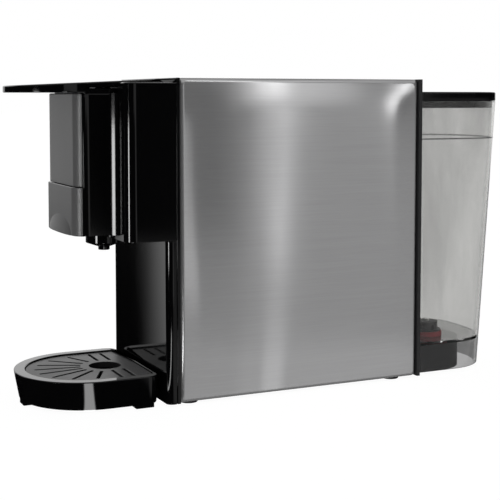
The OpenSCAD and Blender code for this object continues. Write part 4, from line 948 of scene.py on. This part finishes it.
def makeTray():
    t = tray
    obj = addTrayShape("dripTray", t["half"], t["reach"], t["rear"], t["low"], t["top"], t["corner"], 64)
    narrowFoot(obj, t["low"], 1 - t["draft"] / (2 * t["half"]), 1 - t["draft"] / (t["rear"] - t["reach"]),
               t["rear"])
    split(obj, ((0, 0, 0), (1, 0, 0)), ((0, grille["ringY"], 0), (0, 1, 0)))
    roundEdges(obj, below(t["low"]), t["lowEdge"], 4)
    fuse(obj, addTrayFoot(*t["feet"][0]))
    for side, foot in zip(sides, t["feet"][1:]):
        middle = side * t["tongueAt"]
        tongue = addBlock("tongue", (middle - t["tongueHalf"], t["rear"] - 2, t["tongueLow"]),
                          (middle + t["tongueHalf"], t["tongueRear"], t["tongueTop"]))
        roundUprights(tongue, lambda m: m.y > 5, t["tongueCorner"], 4)
        fuse(obj, addTrayFoot(*foot), tongue)
    seat = addTrayShape("seat", t["seatHalf"], t["seatTip"], t["seatRear"], t["seatLow"], 40,
                        t["seatCorner"], 64)
    basin = addTrayShape("basin", t["basinHalf"], t["basinTip"], t["basinRear"], t["basinLow"],
                         t["seatLow"] + 0.1, t["basinCorner"])
    narrowFoot(basin, t["basinLow"], 1 - t["basinDraft"] / t["basinHalf"],
               1 - 2 * t["basinDraft"] / (t["basinRear"] - t["basinTip"]), (t["basinRear"] + t["basinTip"]) / 2)
    roundEdges(basin, below(t["basinLow"]), t["basinEdge"], 4)
    cut(obj, seat, basin)
    roundEdges(obj, above(t["top"]), t["rimEdge"], 5)
    finishBlack(obj, "drip_tray", "drip_tray")


grille = {
    "half": 46.0, "tip": -90.0, "rear": -4.6, "corner": 6.0, "low": 20.8, "top": 23.3, "drainY": -28.7,
    "drain": 12.4, "lip": 1.6, "lipLow": 18.8, "slotHalf": 1.2, "slotStart": 19.0, "ringRadius": 39.3,
    "ringY": -44.0, "fan": (8.0, 24.5, 43.0, 65.0), "rows": ((0.0, 17.8), (9.5, 16.3)), "rowEnd": 42.5,
    "edge": 0.4}


def addSlot(start, end, turn, offset=0.0):
    # slot cutter that points along +X from the drain, then turned about the drain
    g = grille
    middle = g["drainY"] + offset
    obj = addBlock("slot", (start, middle - g["slotHalf"], g["low"] - past),
                   (end, middle + g["slotHalf"], g["top"] + past))
    roundUprights(obj, lambda m: True, g["slotHalf"] - 0.01, 6)
    editAll(obj)
    bpy.ops.transform.rotate(value=turn, orient_axis="Z", center_override=at(0, g["drainY"], 0))
    endEdit()
    return obj


def makeGrille():
    g = grille
    low, top, drain, drainY = pick(g, "low top drain drainY")
    obj = addTrayShape("dripGrille", g["half"], g["tip"], g["rear"], low, top, g["corner"], 64)
    turns = [math.radians(side * angle) for angle in g["fan"] for side in sides]
    split(obj, ((0, g["ringY"], 0), (0, 1, 0)),
          *[((0, drainY + offset, 0), (0, 1, 0)) for offset, start in g["rows"]],
          *[((0, drainY, 0), (math.cos(turn), math.sin(turn), 0)) for turn in turns])
    away = drainY - g["ringY"]
    slots = []
    for turn in turns:
        reach = away * math.cos(turn) + math.sqrt(g["ringRadius"] ** 2 - (away * math.sin(turn)) ** 2)
        slots.append(addSlot(g["slotStart"], reach, math.pi / 2 + turn))
    for offset, start in g["rows"]:
        slots.append(addSlot(start, g["rowEnd"], 0, offset))
        slots.append(addSlot(start, g["rowEnd"], math.pi, -offset))
    cut(obj, joinAll(slots, "slots"), addRod("drain", (0, drainY, low - past), drain, 5, 96))
    roundEdges(obj, above(top), g["edge"])
    ring = addRod("ring", (0, drainY, g["lipLow"]), drain + g["lip"], low + 0.05 - g["lipLow"], 96)
    cut(ring, addRod("hole", (0, drainY, g["lipLow"] - past), drain, 6, 96))
    fuse(obj, ring)
    finishPiece(obj, "drip_grille", "grille_gray", grilleFinish, "drip_grille")


makeTray()
makeGrille()


# water tank and its lid

tank = {
    "half": 56.0, "front": 222.1, "rear": 319.2, "low": 3.5, "top": 228.2, "sideDraft": 1.0, "rearDraft": 15.7,
    "frontRound": 6.0, "rearRound": 42.0, "wall": 2.2, "floor": 28.0, "under": 25.5, "gapHalf": 52.8,
    "valve": (24.0, 252.5), "valveRadius": 9.05, "boss": 11.4, "bossLow": 19.2, "markLow": 197.0, "mark": 0.3,
    "notchY": 239.5, "notchHalf": 9.0, "notchTop": 21.0, "notchDepth": 6.0, "rimEdge": 0.6, "lidLow": 228.5,
    "lidTop": 236.0, "lidEdge": 1.2, "lidLowEdge": 0.5, "skirt": 5.8, "skirtGap": 2.8}


def addTankShape(name, inset, low, high, tapered=True, steps=32):
    t = tank
    front = t["front"] + inset

    def section(z):
        # half the width, and the depth, at this height
        lean = (t["top"] - z) / (t["top"] - t["low"]) if tapered else 0.0
        return t["half"] - inset - lean * t["sideDraft"], t["rear"] - inset - lean * t["rearDraft"] - front

    (topHalf, topDepth), (lowHalf, lowDepth) = section(high), section(low)
    obj = addSlab(name, topHalf, front, front + topDepth, low, high)
    narrowFoot(obj, low, lowHalf / topHalf, lowDepth / topDepth, front)
    roundFront(obj, front, max(t["frontRound"] - inset, 1), 8)
    roundUprights(obj, lambda m: m.y > front + 30 and abs(m.x) > 40, t["rearRound"] - inset, steps)
    return obj


def makeTank():
    t = tank
    half, front, top, wall, floor = pick(t, "half front top wall floor")
    x, y = t["valve"]
    obj = addTankShape("waterTank", 0, t["low"], top)
    split(obj, ((0, 0, 0), (1, 0, 0)), ((x, y, 0), (0, 1, 0)), ((x, y, 0), (1, 0, 0)))
    band = addTankShape("mark", -t["mark"], t["markLow"], t["markLow"] + 2 * t["mark"])
    cut(band, addSlab("bandFront", 80, front - 3, front + wall, 150, 240))
    fuse(obj, band)
    cut(obj, addTankShape("water", wall, floor, top + 5),
        addTankShape("skirt", wall, t["low"] - 5, t["under"]))
    fuse(obj, addRod("boss", (x, y, t["bossLow"]), t["boss"], floor - near - t["bossLow"]))
    cut(obj, addRod("valveHole", (x, y, 0), t["valveRadius"], floor + 10),
        addSlab("frontGap", t["gapHalf"], front - past, front + t["frontRound"], 0, t["under"]),
        addBlock("notch", (-half - past, t["notchY"] - t["notchHalf"], 0),
                 (-half + t["notchDepth"], t["notchY"] + t["notchHalf"], t["notchTop"])))
    roundEdges(obj, above(top), t["rimEdge"])
    finishPiece(obj, "water_tank", "clear_tank", clearTank, "water_tank")


def makeLid():
    t = tank
    skirtLow = t["lidLow"] - t["skirt"]
    obj = addTankShape("tankLid", 0, t["lidLow"], t["lidTop"], False, 40)
    split(obj, ((0, 0, 0), (1, 0, 0)))
    roundEdges(obj, above(t["lidTop"]), t["lidEdge"], 5)
    roundEdges(obj, below(t["lidLow"]), t["lidLowEdge"])
    skirt = addTankShape("skirt", t["skirtGap"], skirtLow, t["lidLow"] + 0.05, False)
    cut(skirt, addTankShape("inner", t["skirtGap"] + t["wall"], skirtLow - past, t["lidLow"] + past, False))
    fuse(obj, skirt)
    finishBlack(obj, "tank_lid", "tank_lid")


makeTank()
makeLid()


# rubber feet

footSize = {
    "radius": 7.0, "high": 3.0, "x": 45.7, "places": (22.8, 202.5), "peg": 3.0, "pegTop": 6.0, "pegSunk": 0.5,
    "ring": 1.6, "hollow": (0.4, -0.5), "edge": 0.5}


def makeFeet():
    f = footSize
    first, second = f["places"]
    model = addRod("rubberFeet", (f["x"], first, 0), f["radius"], f["high"])
    startEdit(model, "FACE")
    pickFaces(model, facesDown)
    insetBy(f["ring"])
    insetBy(*f["hollow"])
    endEdit()
    roundEdges(model, lambda a, b: below(0)(a, b) and (a.xy - b.xy).length > 0.6, f["edge"])
    pegLow = f["high"] - f["pegSunk"]
    fuse(model, addRod("peg", (f["x"], first, pegLow), f["peg"], f["pegTop"] - pegLow, 32))
    feet = [model]
    for across, along in ((-2, 0), (0, second - first), (-2, second - first)):
        choose(model)
        bpy.ops.object.duplicate(linked=False)
        feet.append(bpy.context.object)
        editAll(feet[-1])
        bpy.ops.transform.translate(value=(across * f["x"] * mm, along * mm, 0))
        endEdit()
    finishPiece(joinAll(feet, "rubberFeet"), "machine", "black_rubber", blackRubber, "rubber_feet")


makeFeet()


# floor, surroundings, lamps and camera; lengths in metres, angles in degrees

mirrorEye = (-0.728, -0.417, 0)  # the camera's mirror image in the right side panel

# mirrors see a dark floor with a few glowing patches painted on it, as painted highlights for the glossy parts;
# a fan has its centre, direction, half spread, soft edge, nearest and furthest distance and strength
floorLook = {
    "size": 30, "glow": 1.1, "tone": (0.86, 0.86, 0.86, 1), "share": 0.12, "farX": (-1.9, -1.0, 0.72, 0.0),
    "farFrom": (0.866, 0.11, 0), "poolWay": (0.366, -1.0, 0.0), "poolStart": (0.104, 0.15, 0.0, 0.75),
    "poolStop": (0.19, 0.22, 1.0, 0.0), "poolX": (-0.16, -0.07, 1.0, 0.0), "besideX": (0.06, 0.07),
    "besideY": (-0.11, -0.09),
    "beside": (
        ((0.06, -0.05, 0), 0, 12.2, 1.0, 0.5, 18, 0.45),
        (mirrorEye, 20.9, 4.6, 1.0, 0.75, 1.7, 0.22),
        (mirrorEye, 57.25, 32.75, 1.0, 0.75, 18, 0.3),
        (mirrorEye, 30.0, 13.0, 1.0, 0.75, 1.0, 0.14),
        (mirrorEye, 26.7, 0.8, 0.6, 0.75, 18, 0.25),
        (mirrorEye, 26.7, 0.8, 0.6, 1.8, 18, 0.6)),
    "before": (((0, -0.151, 0), -14.6, 6, 2, 0.005, 0.3, 6.0), ((0.042, -0.14, 0), -68, 7, 3, 0.8, 9, 14.0))}


def addFan(graph, centre, turn, spread, soft, nearest, furthest, strength):
    away = graph.vector("SUBTRACT", graph.spot(), centre)
    axes = graph.axes(away)
    off = graph.calc("SUBTRACT", graph.calc("ARCTAN2", axes["Y"], axes["X"]), math.radians(turn))
    length = graph.vector("LENGTH", away, give="Value")
    return graph.product(
        graph.ramp(graph.calc("ABSOLUTE", off), math.radians(spread - soft), math.radians(spread), 1, 0),
        graph.ramp(length, nearest * 0.8, nearest), graph.ramp(length, furthest, furthest * 1.2, strength, 0.0))


def addSector(graph, axes, low, high, soft):
    # 1 between two compass directions of a ray
    angle = graph.calc("ARCTAN2", axes["Y"], axes["X"])
    start, stop, half = math.radians(low), math.radians(high), math.radians(soft) / 2
    return graph.product(graph.ramp(angle, start - half, start + half),
                         graph.ramp(angle, stop - half, stop + half, 1.0, 0.0))


def beyondLine(graph, direction):
    # 1 on the far side of the line that parts the head's mirror image from the housing's
    return graph.ramp(graph.vector("DOT_PRODUCT", direction, (-0.3032, 0.953, 0.0), give="Value"), -0.008, 0.008)


def makeFloor():
    f = floorLook
    clearSelection()
    bpy.ops.mesh.primitive_plane_add(size=f["size"], location=(0, 0, 0))
    floor = nameNew("floor")
    material = bpy.data.materials.new("floorFinish")
    material.use_nodes = True
    material.node_tree.nodes.clear()
    graph = Graph(material.node_tree)
    spot = graph.spot()
    axes = graph.axes(spot)
    # painted highlights: glowing patches that only mirror rays see, placed to give the glossy parts their bright
    # streaks
    heading = graph.vector("NORMALIZE", graph.vector("SUBTRACT", spot, f["farFrom"]))
    farEnd = graph.product(graph.ramp(axes["X"], *f["farX"]), beyondLine(graph, heading))
    along = graph.vector("DOT_PRODUCT", spot, f["poolWay"], give="Value")
    paintedPool = graph.product(graph.ramp(along, *f["poolStart"]), graph.ramp(along, *f["poolStop"]),
                         graph.ramp(axes["X"], *f["poolX"]))
    beside = graph.product(graph.ramp(axes["X"], *f["besideX"]), graph.ramp(axes["Y"], *f["besideY"]),
                           graph.total(*[addFan(graph, *fan) for fan in f["beside"]]))
    paintedGlints = graph.total(farEnd, paintedPool, beside, *[addFan(graph, *fan) for fan in f["before"]])
    path = graph.add("LightPath").outputs
    mirrored = graph.calc("SUBTRACT", path["Is Glossy Ray"], path["Is Transmission Ray"], use_clamp=True)
    glow = graph.add("Emission", {"Color": (1, 1, 1, 1), "Strength": graph.mix(mirrored, f["glow"], paintedGlints)})
    cloth = graph.add("BsdfDiffuse", {"Color": f["tone"]})
    seen = graph.mix(mirrored, f["share"], 0.0)
    share = graph.add("MixShader", {0: seen, 1: glow.outputs[0], 2: cloth.outputs[0]})
    graph.add("OutputMaterial", {"Surface": share.outputs[0]})
    floor.data.materials.append(material)


makeFloor()

# brightness of the room, mostly over the height of a ray; a sector has its first and last direction
# and its soft edge
roomLook = {
    "seen": 1.0, "diffuse": 0.35, "clothX": (-0.75, -0.45, 1.0, 0.0), "cloth": (0.05, 0.2, 0.72, 1.2),
    "clothLow": (0.12, 0.25), "wallWay": (25.2, 33.4, 0.8), "wall": (0.03, 0.06, 0.36, 0.0),
    "edgeWay": (-12.5, 12.5, 1.0), "edge": (0.1, 0.15, 0.42, 0.0), "narrowWay": (26.3, 27.1, 0.6),
    "narrow": (0.06, 0.075, 1.6, 0.0), "wideWay": (25.0, 30.9, 0.8), "wideLow": (0.068, 0.085),
    "wideY": (0.44, 0.51, 1.0, 0.8), "wideTop": (0.2, 0.25, 1.0, 0.0), "lampTurn": 34.3, "lampRise": 4.3,
    "lamp": (0.9990, 0.9998, 0.0, 3.6), "above": (0.2, 0.4, 0.0, 0.5), "aboveX": (-0.45, 0.0)}


def makeWorld():
    r = roomLook
    world = bpy.data.worlds.new("studio")
    bpy.context.scene.world = world
    world.use_nodes = True
    world.node_tree.nodes.clear()
    graph = Graph(world.node_tree)
    way = graph.spot("Generated")
    axes = graph.axes(way)
    x, height = axes["X"], axes["Z"]
    # cloth on the -X side
    cloth = graph.product(graph.ramp(x, *r["clothX"]), graph.ramp(height, *r["cloth"]),
                          graph.calc("MAXIMUM", beyondLine(graph, way), graph.ramp(height, *r["clothLow"])))
    # on the +X side a pale wall with one narrow and one wide softbox, a small lamp, light from above
    wall, edge, narrow = (graph.product(addSector(graph, axes, *r[name + "Way"]), graph.ramp(height, *r[name]))
                          for name in ("wall", "edge", "narrow"))
    wide = graph.product(addSector(graph, axes, *r["wideWay"]), graph.ramp(height, *r["wideLow"]),
                         graph.ramp(axes["Y"], *r["wideY"]), graph.ramp(height, *r["wideTop"]))
    turn, rise = math.radians(r["lampTurn"]), math.radians(r["lampRise"])
    lampWay = Vector((math.cos(turn), math.sin(turn), math.tan(rise))).normalized()
    lamp = graph.ramp(graph.vector("DOT_PRODUCT", way, tuple(lampWay), give="Value"), *r["lamp"])
    top = graph.product(graph.ramp(height, *r["above"]), graph.ramp(x, *r["aboveX"]))
    side = graph.total(cloth, wall, edge, narrow, wide, lamp, top)
    path = graph.add("LightPath").outputs
    seen = graph.calc("MAXIMUM", path["Is Camera Ray"], path["Is Transmission Ray"])
    room = graph.mix(path["Is Diffuse Ray"], side, r["diffuse"])
    sky = graph.add("Background", {"Color": (1, 1, 1, 1), "Strength": graph.mix(seen, room, r["seen"])})
    graph.add("OutputWorld", {"Surface": sky.outputs[0]})


makeWorld()


def addSoftbox(name, place, target, width, height, watts):
    bpy.ops.object.light_add(type="AREA", location=place)
    lamp = bpy.context.object
    lamp.name = name
    lamp.data.shape = "RECTANGLE"
    lamp.data.size, lamp.data.size_y = width, height
    lamp.data.energy = watts
    aim = Vector(target) - Vector(place)
    lamp.rotation_euler = aim.to_track_quat("-Z", "Y").to_euler()
    lamp.visible_camera = False


addSoftbox("panelStrip", (1.30, 0.605, 1.0), (0.06, 0.0, 0.2), 0.05, 1.3, 0.4)
addSoftbox("panelTop", (1.15, 0.64, 1.3), (0.06, 0.0, 0.2), 0.45, 0.4, 0.3)

view = {"place": (0.8660, -0.41735, 0.2318), "down": 3.80, "turn": 64.87, "lens": 84.6, "shift": -0.15}
bpy.ops.object.camera_add(
    location=view["place"], rotation=(math.radians(90 - view["down"]), 0, math.radians(view["turn"])))
camera = bpy.context.object
camera.name = "camera"
camera.data.lens = view["lens"]
camera.data.shift_y = view["shift"]
camera.data.clip_end = 50

scene = bpy.context.scene
scene.camera = camera
scene.cycles.use_denoising = True
scene.cycles.max_bounces = 16
scene.cycles.transmission_bounces = 12
scene.view_settings.view_transform = "Standard"
print("lights and camera set")
